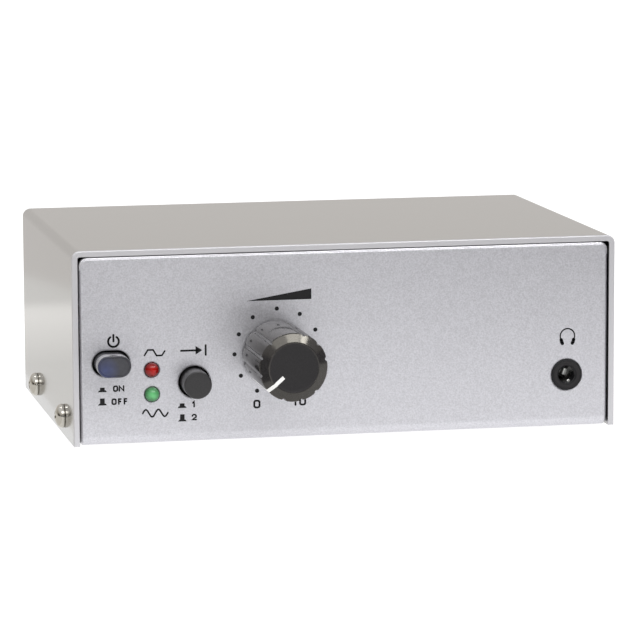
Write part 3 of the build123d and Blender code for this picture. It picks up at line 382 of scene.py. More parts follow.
KNOB_CHAMFER = 1.9
KNOB_CHAMFER_DEPTH = 1.0
KNOB_DISH = 0.25
KNOB_DISH_SLOPE = 0.5
KNOB_WALL = 1.35
KNOB_HOLLOW = 15.0
KNOB_EDGE = 0.16
EDGE_MIDDLE = (0.4, 0.2)  # in from the side and back from the chamfer, in edges
EDGE_GUARD = 1.4  # in edges: a ring here keeps the surface beside an edge flat
RIM_TOP = 0.25  # back from the face, in edges
RIM_INSIDE = (0.8, 0.4)  # in from the rim and back from the face, in edges
DISH_GUARD = 0.3
FACE_GUARD = 0.5  # in edges: the face's look ends this far in from the rim
BOSS_RADIUS = 4.3
BOSS_SETBACK = 3.7
BOSS_SIDES = 48
FLUTE_PLACES = 12
FLUTE_GROUP = 4
FLUTE_TURN = -1.5
FLUTE_RADIUS = 0.4
FLUTE_DEPTH = 0.45
FLUTE_STEPS = 5  # on each half of a flute
LAND_STEPS = 6
POINTER_ANGLE = -131.0
POINTER_WIDTH = 0.75
POINTER_START = 2.85
POINTER_PROUD = 0.03
POINTER_CORNER, POINTER_SIDE = 0.5, 0.2  # in before the corner and out after it, in POINTER_PROUD
POINTER_SUNK = (0.25, 0.2)  # in and back


def knob_angles(radius):
    """(angle, radius at the side) all round: lands and flutes, with one plain place to a group."""
    out = radius - FLUTE_DEPTH + FLUTE_RADIUS
    half = math.acos((out * out + radius * radius - FLUTE_RADIUS ** 2) / (2 * out * radius))
    pitch = 2 * math.pi / FLUTE_PLACES
    samples = []
    for place in range(FLUTE_PLACES):
        centre = math.radians(POINTER_ANGLE + FLUTE_TURN) + place * pitch
        for step in range(-FLUTE_STEPS, FLUTE_STEPS + 1):
            turn = half * step / FLUTE_STEPS
            side = radius
            if place % FLUTE_GROUP > 0:
                side = out * math.cos(turn) - math.sqrt(
                    max(0.0, FLUTE_RADIUS ** 2 - (out * math.sin(turn)) ** 2)
                )
            samples.append((centre + turn, min(side, radius)))
        for step in range(1, LAND_STEPS):
            samples.append((centre + half + (pitch - 2 * half) * step / LAND_STEPS, radius))
    return samples


def gain_knob():
    """The fluted knob as one hollow shell, with the boss in its back."""
    low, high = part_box("gain_knob")
    centre = middle_of("gain_knob")
    radius = (high.x - low.x) / 2 / MM
    face, back = low.y / MM, high.y / MM
    ring = face + KNOB_CHAMFER_DEPTH
    rim = radius - KNOB_CHAMFER
    samples = knob_angles(radius)

    def around(limit, y_at):
        points = []
        for angle, side in samples:
            r = min(side, limit)
            x = centre.x + r * MM * math.sin(angle)
            z = centre.z + r * MM * math.cos(angle)
            points.append(Vector((x, y_at(r) * MM, z)))
        return points

    def chamfer_y(r):
        return ring - (radius - r) / KNOB_CHAMFER * KNOB_CHAMFER_DEPTH

    cavity = radius - KNOB_WALL
    floor = face + KNOB_DISH
    rings = [
        around(cavity, lambda r: back - KNOB_HOLLOW),
        around(cavity, lambda r: back),
        around(radius - KNOB_EDGE, lambda r: back),
        around(radius, lambda r: back - KNOB_EDGE),
        around(radius, lambda r: chamfer_y(r) + KNOB_EDGE),
        around(
            radius - EDGE_MIDDLE[0] * KNOB_EDGE, lambda r: chamfer_y(r) + EDGE_MIDDLE[1] * KNOB_EDGE
        ),
        around(radius - KNOB_EDGE, chamfer_y),
        around(radius - EDGE_GUARD * KNOB_EDGE, chamfer_y),
        around(rim + EDGE_GUARD * KNOB_EDGE, chamfer_y),
        around(rim + KNOB_EDGE, chamfer_y),
        around(rim, lambda r: face + RIM_TOP * KNOB_EDGE),
        around(rim - RIM_INSIDE[0] * KNOB_EDGE, lambda r: face + RIM_INSIDE[1] * KNOB_EDGE),
        around(rim - KNOB_DISH_SLOPE, lambda r: floor),
        around(rim - KNOB_DISH_SLOPE - DISH_GUARD, lambda r: floor),
    ]
    shell = loft(rings)
    boss_ends = (back - KNOB_HOLLOW, back - BOSS_SETBACK)
    boss = turned(centre, [(BOSS_RADIUS * MM, y * MM) for y in boss_ends], BOSS_SIDES)
    knob = piece("knob", *merged([shell, boss]), LOOKS["knob"], "gain_control", smooth_angle=28)
    knob.data.materials.append(LOOKS["knob_face"])
    for polygon in knob.data.polygons:
        spread = max((knob.data.vertices[i].co - centre).xz.length for i in polygon.vertices)
        forward = polygon.center.y < (face + KNOB_CHAMFER_DEPTH / 2) * MM
        if forward and spread < (rim - FACE_GUARD * KNOB_EDGE) * MM:
            polygon.material_index = 1
    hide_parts("gain_knob")
    pointer(centre, radius, face, back)


def pointer(centre, radius, face, back):
    """The white line, along the face, over the chamfer and down the side."""
    rim = radius - KNOB_CHAMFER
    floor = face + KNOB_DISH
    ring = face + KNOB_CHAMFER_DEPTH
    out = POINTER_PROUD
    path = [
        (POINTER_START, floor - out),
        (rim - KNOB_DISH_SLOPE, floor - out),
        (rim - out, face),
        (rim + out, face),
        (radius - POINTER_CORNER * out, ring - out),
        (radius + POINTER_SIDE * out, ring + out),
        (radius + POINTER_SIDE * out, back - KNOB_EDGE),
    ]
    angle = math.radians(POINTER_ANGLE)
    along = Vector((math.sin(angle), 0, math.cos(angle)))
    across = Vector((math.cos(angle), 0, -math.sin(angle))) * (POINTER_WIDTH / 2 * MM)
    base = Vector((centre.x, 0, centre.z))
    rings = []
    for r, y in path:
        outer = base + along * r * MM + Vector((0, y * MM, 0))
        sunk = base + along * (r - POINTER_SUNK[0]) * MM
        sunk += Vector((0, (y + POINTER_SUNK[1]) * MM, 0))
        rings.append([outer - across, outer + across, sunk + across, sunk - across])
    line = piece("knob_line", *loft(rings), LOOKS["white"], "gain_control")
    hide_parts("knob_pointer")


# ---- Buttons ----

CAP_EDGE = 0.3
CAP_EDGE_STEPS = 6
CAP_RIM = 0.4
CAP_DISH = 0.12
CAP_DISH_SLOPE = 0.08
CAP_DISH_GUARD = 0.3
CAP_FACE_START = 0.5  # back from the front, in edges: all before it has the face's look
# A painted blue glow in the power cap's face, lightest low on its left.
PAINTED_GLOW_PLACE = (-0.27, -0.16)  # in the cap's width and height, from its middle
PAINTED_GLOW_REACH = 0.45  # in the cap's width
PAINTED_GLOW_NEAR = (1.0, 1.35, 3.1)
PAINTED_GLOW_FAR = (1.05, 1.05, 1.05)
INPUT_DISH = 0.03
INPUT_DISH_REACH = 0.5  # in the cap's radius


def stadium(centre, width, height, y, count=24):
    """A ring with round ends about an axis along Y; metres."""
    radius = height / 2
    reach = width / 2 - radius
    points = []
    for side in (1, -1):
        for step in range(count + 1):
            angle = math.pi * step / count
            x = side * (reach + radius * math.sin(angle))
            z = side * radius * math.cos(angle)
            points.append(Vector((centre.x + x, y, centre.z + z)))
    return points


def power_cap():
    """The oblong clear cap, its sides painted lighter than its face, with a painted blue glow in
    its face for the blue that shows from behind it.
    """
    low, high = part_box("power_button")
    centre = middle_of("power_button")
    width, height = high.x - low.x, high.z - low.z
    edge = CAP_EDGE * MM
    profile = [(0, high.y)]
    for step in range(CAP_EDGE_STEPS + 1):
        angle = step * math.pi / 2 / CAP_EDGE_STEPS
        profile.append((edge - edge * math.cos(angle), low.y + edge - edge * math.sin(angle)))
    profile += [
        (CAP_RIM * MM, low.y),
        ((CAP_RIM + CAP_DISH_SLOPE) * MM, low.y + CAP_DISH * MM),
        ((CAP_RIM + CAP_DISH_GUARD) * MM, low.y + CAP_DISH * MM),
    ]
    rings = [
        stadium(centre, width - 2 * inset, height - 2 * inset, y) for inset, y in profile
    ]
    cap = piece("power_cap", *loft(rings), LOOKS["smoke"], "power_push")
    # Painted glow: the face's colour is lifted towards blue about this point.
    glow = Vector((centre.x + PAINTED_GLOW_PLACE[0] * width, low.y, centre.z + PAINTED_GLOW_PLACE[1] * height))
    cap.data.materials.append(
        painted_light_about(LOOKS["smoke_face_painted_dark"], glow, PAINTED_GLOW_REACH * width, PAINTED_GLOW_NEAR, PAINTED_GLOW_FAR, "LINEAR")
    )
    for polygon in cap.data.polygons:
        if polygon.center.y < low.y + CAP_FACE_START * edge:
            polygon.material_index = 1
    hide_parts("power_button")


def input_cap():
    """The round matt cap, with a slightly hollow face."""
    low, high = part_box("input_button")
    centre = middle_of("input_button")
    radius = (high.x - low.x) / 2
    edge = CAP_EDGE * MM
    profile = [(radius, high.y)] + quarter(edge, edge, radius - edge, low.y + edge)
    profile += [(radius * INPUT_DISH_REACH, low.y + INPUT_DISH * MM)]
    cap = piece("input_cap", *turned(centre, profile), LOOKS["black_cap"], "input_push")
    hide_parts("input_button")


# ---- Lamps ----

LENS_DOME = 0.85  # height of the dome, in radii
LENS_STEPS = 14
LENS_SIDES = 64
# Painted shade of the lens: its colour is kept at its front and darkened towards its rim.
LENS_PAINTED_SHADE_REACH = 1.45  # in radii
LENS_NEAR = (1.0, 1.0, 1.0)
LENS_FAR = (0.3, 0.3, 0.3)


def lamp(node, look):
    """A domed lens with painted shade, darker towards its rim, where the resin is seen through its
    side.
    """
    low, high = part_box(node)
    centre = middle_of(node)
    radius = (high.x - low.x) / 2
    dome = LENS_DOME * radius
    profile = [(radius, high.y)] + quarter(radius, dome, 0.0, low.y + dome, LENS_STEPS)[:-1]
    front = Vector((centre.x, low.y, centre.z))
    shaded = painted_light_about(LOOKS[look], front, LENS_PAINTED_SHADE_REACH * radius, LENS_NEAR, LENS_FAR)
    verts, faces = turned(centre, profile, LENS_SIDES)
    body = piece(node.replace("_lamp", "_lens"), verts, faces, shaded, "chassis")
    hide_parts(node)


# ---- Side screws ----

SCREW_HEAD_RADIUS = 2.5
SCREW_EDGE = 0.5
SCREW_UNDERCUT = 0.14
SCREW_SIDES = 64
SCREW_STEPS = 12
SCREW_TURN = 0.35  # of the cross, in radians
SCREW_TURN_BY_ROW = 0.8
SCREW_TURN_BY_SIDE = 0.4
RECESS_WIDTH = 0.75
RECESS_LENGTH = 2.9
RECESS_DEPTH = 1.1
RECESS_TAPER = 0.55
CUTTER_PROUD = 1.0


def bar(half_length, half_width, low, high, taper, turn):
    """A tapered bar along x, turned about z; millimetres."""
    verts = []
    for z, scale in ((low, taper), (high, 1.0)):
        for x, y in ((-1, -1), (1, -1), (1, 1), (-1, 1)):
            point = Vector((x * half_length * scale, y * half_width * scale, z))
            verts.append(Matrix.Rotation(turn, 4, "Z") @ point)
    sides = [(0, 1, 5, 4), (1, 2, 6, 5), (2, 3, 7, 6), (3, 0, 4, 7)]
    return verts, [(3, 2, 1, 0), (4, 5, 6, 7)] + sides


def pan_head(radius, height, turn):
    """Vertices and faces of a pan head with its cross recess, standing on z = 0; millimetres."""
    profile = [(radius - SCREW_UNDERCUT, 0.0), (radius, SCREW_UNDERCUT), (radius, SCREW_EDGE)]
    for step in range(1, SCREW_STEPS):
        angle = step * math.pi / 2 / SCREW_STEPS
        z = SCREW_EDGE + (height - SCREW_EDGE) * math.sin(angle)
        profile.append((radius * math.cos(angle), z))
    rings = [
        [Vector((r * math.cos(a), r * math.sin(a), z)) for a in angles_round(SCREW_SIDES)]
        for r, z in profile
    ]
    verts, faces = loft(rings)
    head = bare_object("head", verts, [tuple(reversed(face)) for face in faces])
    for quarter_turn in (0.0, math.pi / 2):
        cutter = bare_object("cutter", *bar(
            RECESS_LENGTH / 2, RECESS_WIDTH / 2, height - RECESS_DEPTH, height + CUTTER_PROUD,
            RECESS_TAPER, turn + quarter_turn,
        ))
        cut = head.modifiers.new("cut", "BOOLEAN")
        cut.operation = "DIFFERENCE"
        cut.object = cutter
        cut.solver = "EXACT"
        bpy.context.view_layer.update()
        cut_head = head.evaluated_get(bpy.context.evaluated_depsgraph_get())
        mesh = bpy.data.meshes.new_from_object(cut_head)
        head.modifiers.clear()
        head.data = mesh
        bpy.data.objects.remove(cutter)
    verts = [v.co.copy() for v in head.data.vertices]
    faces = [tuple(p.vertices) for p in head.data.polygons]
    bpy.data.objects.remove(head)
    return verts, faces


def side_screws():
    """The four heads low on the cover's walls, as one piece."""
    low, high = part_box("cover_screws")
    middle = middle_of("cover_screws")
    height = high.x / MM - COVER_HIGH.x / MM
    rows = (low.y + SCREW_HEAD_RADIUS * MM, high.y - SCREW_HEAD_RADIUS * MM)
    shapes = []
    for side in (-1, 1):
        for row, y in enumerate(rows):
            turn = SCREW_TURN + SCREW_TURN_BY_ROW * row + SCREW_TURN_BY_SIDE * side
            verts, faces = pan_head(SCREW_HEAD_RADIUS, height, turn)
            placed = []
            for point in verts:
                x = side * (COVER_HIGH.x + point.z * MM)
                placed.append(Vector((x, y + side * point.x * MM, middle.z + point.y * MM)))
            shapes.append((placed, faces))
    heads = piece("screw_heads", *merged(shapes), LOOKS["nickel"], "chassis", smooth_angle=30)
    tidy_normals(heads)
    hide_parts("cover_screws")


def tidy_normals(obj):
    """Turns all of a piece's faces outward."""
    mesh = bmesh.new()
    mesh.from_mesh(obj.data)
    bmesh.ops.recalc_face_normals(mesh, faces=mesh.faces)
    mesh.to_mesh(obj.data)
    mesh.free()


# ---- Earth stud ----

STUD_PITCH = 0.7
STUD_GROOVE = 0.3
STUD_TIP = 0.4
STUD_SIDES = 36
STUD_ROWS_PER_TURN = 6


def earth_stud():
    """The threaded stud behind, with its grooves winding round it."""
    low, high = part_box("ground_stud")
    centre = middle_of("ground_stud")
    radius = (high.x - low.x) / 2 / MM
    length = (high.y - low.y) / MM
    rows = round(length / STUD_PITCH * STUD_ROWS_PER_TURN)
    rings = []
    for row in range(rows + 1):
        y = length * row / rows
        ring = []
        for step, angle in enumerate(angles_round(STUD_SIDES)):
            phase = (y / STUD_PITCH - step / STUD_SIDES) % 1
            thread = radius - STUD_GROOVE * (1 - abs(2 * phase - 1))
            r = min(thread, radius - STUD_TIP + length - y)
            across = Vector((math.sin(angle), 0, math.cos(angle))) * r * MM
            ring.append(Vector((centre.x, low.y + y * MM, centre.z)) + across)
        rings.append(ring)
    stud = piece("threaded_stud", *loft(rings), LOOKS["brass"], "chassis", smooth_angle=60)
    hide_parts("ground_stud")


# ---- Headphone jack and panel edge ----

JACK_RADIUS = 3.18
JACK_BORE = 1.86
JACK_RING_SUNK = 0.24
JACK_RING_SIDES = 72
# (in from the outer radius, back from the jack's face) and (out from the bore, back from the face)
JACK_RIM = ((0, JACK_RING_SUNK), (0, 0.02), (0.08, -0.1), (0.2, -0.16), (0.32, -0.15), (0.4, -0.06))
JACK_LIP = ((0.45, -0.02), (0.28, -0.05), (0.1, 0.02), (0, 0.12), (0, JACK_RING_SUNK + 0.1))
# Painted shadow on the jack ring: its outer edge, for the gap round the nose, and its inner lip,
# for the shade in the bore, take the black print look.
JACK_PAINTED_SHADOW_RIM = 0.22  # in from the outer radius
JACK_PAINTED_SHADE_LIP = 0.3  # out from the bore
SPRING_SHEET = 0.12
SPRING_STEPS = 8
# Of each spring: depth of its middle in the bore, length, width, nearest distance to the bore's
# axis, how far its ends lie beyond that, and its direction in degrees up from the right.
SIDE_SPRINGS = (
    (2.0, 0.3, 0.5, 1.5, 0.35, -62),
    (7.0, 0.5, 1.3, 0.95, 0.9, -20),
    (10.8, 0.5, 1.4, 0.6, 1.2, -35),
)
PANEL_CORNER = 1.7
CORNER_STEPS = 8
BEAD_HEIGHT = 0.3
BEAD_PROUD = 0.1
BEAD_SETBACK = 0.3
BEAD_DROP = 2.6  # how far it runs down the panel's sides
BEAD_STEPS = 9
BEAD_END = 0.15  # its swell at both ends, as a share
BEAD_LAP = 0.02  # past the panel's edge
BEAD_ROOT = 0.6  # depth in the panel


def jack_ring():
    """The turned lip around the jack's mouth: a rounded rim, a dish and a small inner lip, with
    painted shadow in the black print look on its outer edge and inner lip.
    """
    centre = middle_of("headphone_jack_body")
    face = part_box("headphone_jack_body")[0].y / MM
    profile = [(JACK_RADIUS - inward, y) for inward, y in JACK_RIM]
    profile += [(JACK_BORE + outward, y) for outward, y in JACK_LIP]
    rings = [circle(centre, r * MM, (face + y) * MM, JACK_RING_SIDES) for r, y in profile]
    ring = piece("jack_ring", *loft(rings, closed=True), LOOKS["jack_ring"], "chassis")
    tidy_normals(ring)
    # Painted shadow: the outer edge and the inner lip get the black print look.
    ring.data.materials.append(LOOKS["ink"])
    for polygon in ring.data.polygons:
        apart = max((ring.data.vertices[i].co - centre).xz.length for i in polygon.vertices) / MM
        if apart > JACK_RADIUS - JACK_PAINTED_SHADOW_RIM or apart < JACK_BORE + JACK_PAINTED_SHADE_LIP:
            polygon.material_index = 1


def jack_side_springs():
    """The three bowed contacts low on the right of the jack's bore."""
    centre = middle_of("headphone_jack_body")
    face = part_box("headphone_jack_body")[0].y
    shapes = []
    for depth, length, width, apex, height, degrees in SIDE_SPRINGS:
        out = Vector((math.cos(math.radians(degrees)), 0, math.sin(math.radians(degrees))))
        across = Vector((-out.z, 0, out.x)) * (width / 2 * MM)
        rings = []
        for step in range(SPRING_STEPS + 1):
            turn = math.pi * (step / SPRING_STEPS - 0.5)
            reach = apex + height * (1 - math.cos(turn))
            y = face + (depth + length * math.sin(turn) / 2) * MM
            middle = Vector((centre.x, y, centre.z))
            inner, outer = middle + out * reach * MM, middle + out * (reach + SPRING_SHEET) * MM
            rings.append([inner - across, inner + across, outer + across, outer - across])
        shapes.append(loft(rings))
    springs = piece(
        "jack_side_springs", *merged(shapes), LOOKS["zinc"], "chassis", smooth_angle=50
    )
    tidy_normals(springs)


def panel_bead():
    """A fine bead along the panel's upper edge, round its corners and a little way down: a rounded
    edge, brighter than the panel as a painted highlight.
    """
    left, right = TRAY_LOW.x / MM, TRAY_HIGH.x / MM
    top = (TRAY_HIGH.z - TRAY_LOW.z) / MM
    path = [((left, top - BEAD_DROP), (-1, 0))]
    for x, start in ((left + PANEL_CORNER, 180), (right - PANEL_CORNER, 90)):
        for step in range(CORNER_STEPS + 1):
            angle = math.radians(start - 90 * step / CORNER_STEPS)
            way = (math.cos(angle), math.sin(angle))
            z = top - PANEL_CORNER + PANEL_CORNER * way[1]
            path.append(((x + PANEL_CORNER * way[0], z), way))
    path.append(((right, top - BEAD_DROP), (1, 0)))
    rings = []
    for index, ((x, z), way) in enumerate(path):
        swell = BEAD_END if index in (0, len(path) - 1) else 1.0
        section = []
        for step in range(BEAD_STEPS + 1):
            angle = math.pi * step / BEAD_STEPS
            inward = BEAD_HEIGHT * (0.5 + 0.5 * math.cos(angle)) - BEAD_LAP
            depth = BEAD_SETBACK * (1 - math.cos(angle)) / 2 - swell * BEAD_PROUD * math.sin(angle)
            section.append((inward, depth))
        section += [(-BEAD_LAP, BEAD_ROOT), (BEAD_HEIGHT, BEAD_ROOT)]
        rings.append([
            on_panel(x - way[0] * inward, z - way[1] * inward, depth) for inward, depth in section
        ])
    bead = piece("panel_bead", *loft(rings), LOOKS["edge"], "chassis")
    tidy_normals(bead)


# ---- Print on the front panel ----

INK_PROUD = 0.02
INK_DEPTH = 0.04
ROUND_END_SIDES = 12
MITRE_LIMIT = 0.5  # the least cosine of half a corner's turn that a mitre is made for


def ribbon(points, width, closed=False):
    """A flat line of that width along the points, with mitred corners; panel coordinates."""
    verts, faces = [], []
    count = len(points)
    for index, point in enumerate(points):
        here = Vector(point)
        before = Vector(points[index - 1]) if index or closed else None
        after = Vector(points[(index + 1) % count]) if index < count - 1 or closed else None
        first = (here - before).normalized() if before is not None else (after - here).normalized()
        second = (after - here).normalized() if after is not None else first
        normal = Vector((-first.y, first.x)) + Vector((-second.y, second.x))
        normal = normal.normalized()
        stretch = 1 / max(MITRE_LIMIT, normal.dot(Vector((-first.y, first.x))))
        offset = normal * width / 2 * stretch
        verts += [here + offset, here - offset]
    spans = count if closed else count - 1
    for index in range(spans):
        after = (index + 1) % count
        faces.append((2 * index, 2 * after, 2 * after + 1, 2 * index + 1))
    return verts, faces


def disc(x, z, radius, count=20):
    """A flat round shape; panel coordinates."""
    verts = [
        Vector((x + radius * math.cos(a), z + radius * math.sin(a))) for a in angles_round(count)
    ]
    return verts, [tuple(range(count))]


def patch(points):
    """A flat shape with these corners; panel coordinates."""
    return [Vector(p) for p in points], [tuple(range(len(points)))]


def line(points, width, closed=False):
    """A ribbon with round ends."""
    shapes = [ribbon(points, width, closed)]
    if not closed:
        shapes += [disc(*points[end], width / 2, ROUND_END_SIDES) for end in (0, -1)]
    return shapes


def arc(x, z, radius_x, radius_z, start, end, steps=24):
    """Points on an ellipse, with angles in degrees counted from +x towards +z."""
    return [
        (
            x + radius_x * math.cos(math.radians(start + (end - start) * s / steps)),
            z + radius_z * math.sin(math.radians(start + (end - start) * s / steps)),
        )
        for s in range(steps + 1)
    ]


def printed(name, shapes):
    """The flat shapes as one thin layer of ink on the panel."""
    verts, faces = merged(shapes)
    front = [on_panel(v.x, v.y, -INK_PROUD) for v in verts]
    back = [on_panel(v.x, v.y, INK_DEPTH - INK_PROUD) for v in verts]
    count = len(verts)
    all_faces = faces + [tuple(count + index for index in reversed(face)) for face in faces]
    for face in faces:
        for start, end in zip(face, face[1:] + face[:1]):
            all_faces.append((end, start, count + start, count + end))
    ink = piece(name, front + back, all_faces, LOOKS["ink"], "chassis")
    tidy_normals(ink)


def rounded_box(x, z, width, height, corner):
    """The outline of a rectangle with round corners."""
    left, right = x - width / 2 + corner, x + width / 2 - corner
    low, high = z - height / 2 + corner, z + height / 2 - corner
    points = []
    for cx, cz, start in ((right, high, 0), (left, high, 90), (left, low, 180), (right, low, 270)):
        points += arc(cx, cz, corner, corner, start, start + 90, 6)
    return points


HALF_WIDTHS = {"O": 0.28, "N": 0.34, "F": 0.16, "0": 0.3, "1": 0.1, "2": 0.28}  # in heights
ROUND_CORNER = MIDDLE_BAR = 0.7  # of an O and a nought, and of an F; in half widths
TWO_ARC = (165, -25, 12)  # start and end in degrees, and steps


def glyph(letter, x, z, height, stroke):
    """One printed character, centred on (x, z)."""
    half = height / 2 - stroke / 2
    wide = HALF_WIDTHS[letter] * height
    left, right, low, high = x - wide, x + wide, z - half, z + half
    if letter in "O0":
        return line(rounded_box(x, z, 2 * wide, 2 * half, ROUND_CORNER * wide), stroke, True)
    if letter == "N":
        return line([(left, low), (left, high), (right, low), (right, high)], stroke)
    if letter == "F":
        shapes = line([(right, high), (left, high), (left, low)], stroke)
        return shapes + line([(left, z), (x + MIDDLE_BAR * wide, z)], stroke)
    if letter == "1":
        return line([(x - 2 * wide, high - 2 * wide), (x, high), (x, low)], stroke)
    top = arc(x, high - wide, wide, wide, *TWO_ARC)
    return line(top + [(left, low), (right, low)], stroke)


def word(text, x, z, height, stroke, pitch):
    """Characters in a row, centred on (x, z), with a fixed pitch."""
    shapes = []
    for index, letter in enumerate(text):
        at = x + (index - (len(text) - 1) / 2) * pitch
        shapes += glyph(letter, at, z, height, stroke)
    return shapes


SIGN_BASE = 0.38  # height of the plate under a push sign's block
SIGN_TOP = 0.36  # half the plate's upper width, in widths
SIGN_BLOCK = 0.52  # the block's width, in widths


def push_sign(x, z, width, rise):
    """A push button seen from the side: pressed in with a low block, out with a tall one."""
    base, top, block = width / 2, SIGN_TOP * width, SIGN_BLOCK * width / 2
    level, peak = z + SIGN_BASE, z + rise
    return [
        patch([(x - base, z), (x + base, z), (x + top, level), (x - top, level)]),
        patch([(x - block, level), (x + block, level), (x + block, peak), (x - block, peak)]),
    ]


DIAL_RADIUS = 9.0
DIAL_OFFSET = (0.48, 0.27)  # of the scale's middle from the knob's
DIAL_ANGLES = (-151, -121, -91, -64, -35, -1, 31, 61, 91, 121, 150)
DIAL_ENDS = (("0", (-3.95, -10.37), 1.6), ("10", (4.87, -10.14), 1.5))  # text, place, pitch
DIAL_HEIGHT = 1.8
DOT_RADIUS = 0.44
WEDGE = ((-5.95, 11.0), (7.55, 11.0), (7.55, 13.2))  # from the knob's middle
POWER_SIGN = (0.53, 4.5)  # from the button's middle
POWER_SIGN_RADIUS = 1.1
POWER_SIGN_ANGLES = (125, 415)
POWER_SIGN_UPRIGHT = (0.05, 1.35)
CLIPPED_WAVE = ((-1.5, 3.0), (-0.8, 4.1), (0.3, 4.1), (1.0, 2.9), (2.1, 2.9), (2.7, 3.8))
WAVE_START, WAVE_LENGTH, WAVE_HEIGHT, WAVE_STEPS = (-1.99, -3.91), 5.2, 0.75, 32
ARROW = (0.3, 6.49)  # from the button's middle
ARROW_SHAFT = ((-3.0, 0.0), (0.4, 0.0))
ARROW_STOP = ((2.1, -1.0), (2.1, 1.0))
ARROW_HEAD = ((0.0, -0.9), (1.4, 0.0), (0.0, 0.9))
HEADPHONES = (0.15, 8.1)  # from the jack's middle
HEADBAND_RADIUS = 1.55
HEADBAND_ANGLES = (-28, 208)
EAR_CUP = ((1.34, -0.75), (1.24, -1.2), (1.06, -1.55))
STROKE = 0.33
DIAL_STROKE = ARROW_STROKE = 0.4
SIGN_STROKE = 0.42
WAVE_STROKE = 0.34
HEADBAND_STROKE = 0.28
EAR_CUP_STROKE = 0.72
# Of each label: name, then the push sign's place from the button's middle, its width and rise,
# then the word, its place, height and pitch.
POWER_LABELS = (
    ("print_on", (-1.87, -5.83), 1.87, 0.94, "ON", (1.45, -5.2), 1.31, 1.22),
    ("print_off", (-1.9, -8.56), 1.87, 1.45, "OFF", (1.68, -7.88), 1.35, 1.17),
)
INPUT_LABELS = (
    ("print_input_one", (-2.58, -5.32), 1.89, 0.95, "1", (-0.1, -4.62), 1.4, 1.2),
    ("print_input_two", (-2.56, -8.11), 1.79, 1.48, "2", (-0.1, -7.3), 1.4, 1.2),
)


def from_node(node, right=0.0, up=0.0):
    """A place on the panel, that far from the middle of a node."""
    middle = middle_of(node)
    return middle.x / MM + right, (middle.z - TRAY_LOW.z) / MM + up


def shifted(node, points):
    """Points counted from the middle of a node, as places on the panel."""
    x, z = from_node(node)
    return [(x + right, z + up) for right, up in points]


def push_label(node, name, sign_place, width, rise, text, word_place, height, pitch):
    """A push sign and the word beside it, printed under a button."""
    sign = push_sign(*from_node(node, *sign_place), width, rise)
    printed(name, sign + word(text, *from_node(node, *word_place), height, STROKE, pitch))


def dial_print():
    x, z = from_node("gain_knob", *DIAL_OFFSET)
    dots = []
    for degrees in DIAL_ANGLES:
        right = DIAL_RADIUS * math.sin(math.radians(degrees))
        up = DIAL_RADIUS * math.cos(math.radians(degrees))
        dots.append(disc(x + right, z + up, DOT_RADIUS))
    printed("print_dial_dots", dots)
    ends = []
    for text, place, pitch in DIAL_ENDS:
        ends += word(text, *from_node("gain_knob", *place), DIAL_HEIGHT, DIAL_STROKE, pitch)
    printed("print_dial_ends", ends)
    printed("print_gain_wedge", [patch(shifted("gain_knob", WEDGE))])


def power_print():
    x, z = from_node("power_button", *POWER_SIGN)
    ring = arc(x, z, POWER_SIGN_RADIUS, POWER_SIGN_RADIUS, *POWER_SIGN_ANGLES)
    upright = [(x, z + up) for up in POWER_SIGN_UPRIGHT]
    printed("print_power_sign", line(ring, SIGN_STROKE) + line(upright, SIGN_STROKE))
    for label in POWER_LABELS:
        push_label("power_button", *label)


def lamp_print():
    printed("print_clip_wave", line(shifted("red_lamp", CLIPPED_WAVE), WAVE_STROKE))
    wave = []
    for step in range(WAVE_STEPS + 1):
        up = WAVE_HEIGHT * math.sin(step * 4 * math.pi / WAVE_STEPS)
        wave.append((WAVE_START[0] + step * WAVE_LENGTH / WAVE_STEPS, WAVE_START[1] + up))
    printed("print_signal_wave", line(shifted("green_lamp", wave), WAVE_STROKE))


def input_print():
    x, z = from_node("input_button", *ARROW)
    shaft, stop, head = (
        [(x + right, z + up) for right, up in points]
        for points in (ARROW_SHAFT, ARROW_STOP, ARROW_HEAD)
    )
    shapes = line(shaft, ARROW_STROKE) + line(stop, ARROW_STROKE) + [patch(head)]
    printed("print_input_arrow", shapes)
    for label in INPUT_LABELS:
        push_label("input_button", *label)


def headphone_print():
    x, z = from_node("headphone_jack_body", *HEADPHONES)
    headband = arc(x, z, HEADBAND_RADIUS, HEADBAND_RADIUS, *HEADBAND_ANGLES)
    shapes = line(headband, HEADBAND_STROKE)
    for side in (-1, 1):
        shapes += line([(x + side * right, z + up) for right, up in EAR_CUP], EAR_CUP_STROKE)
    printed("print_headphones", shapes)


# ---- Floor, light and camera: places in metres, the camera's angles in radians ----

CAMERA_PLACE = (-0.161676, -0.78186, 0.138812)
CAMERA_YAW, CAMERA_PITCH, CAMERA_ROLL = 0.205475, 0.146925, -0.004617
CAMERA_LENS = 212.04  # like the sensor, in millimetres
CAMERA_SENSOR = 36.0
WHITE = (1.0, 1.0, 1.0)
FLOOR_REACH = 5.0
FLOOR_GLOW = 0.92
FLOOR_DIFFUSE = 0.25
SIDE_FLOOR_LOW = (-0.5, -0.1)
SIDE_FLOOR_HIGH = (-0.06, 0.32)
SIDE_FLOOR_Z = 0.0005
SIDE_FLOOR_COLOUR = (1.0, 0.985, 0.96)
SIDE_FLOOR_GLOW = 1.85
SIDE_FLOOR_RUN = 0.2  # the y at which the last of its levels is reached
# Shares of the run along y, and of the floor's full glow there.
SIDE_FLOOR_LEVELS = (
    (0.0, 0.525), (0.4, 0.515), (0.6, 0.58), (0.78, 0.635), (0.84, 0.625), (0.92, 0.5),
)
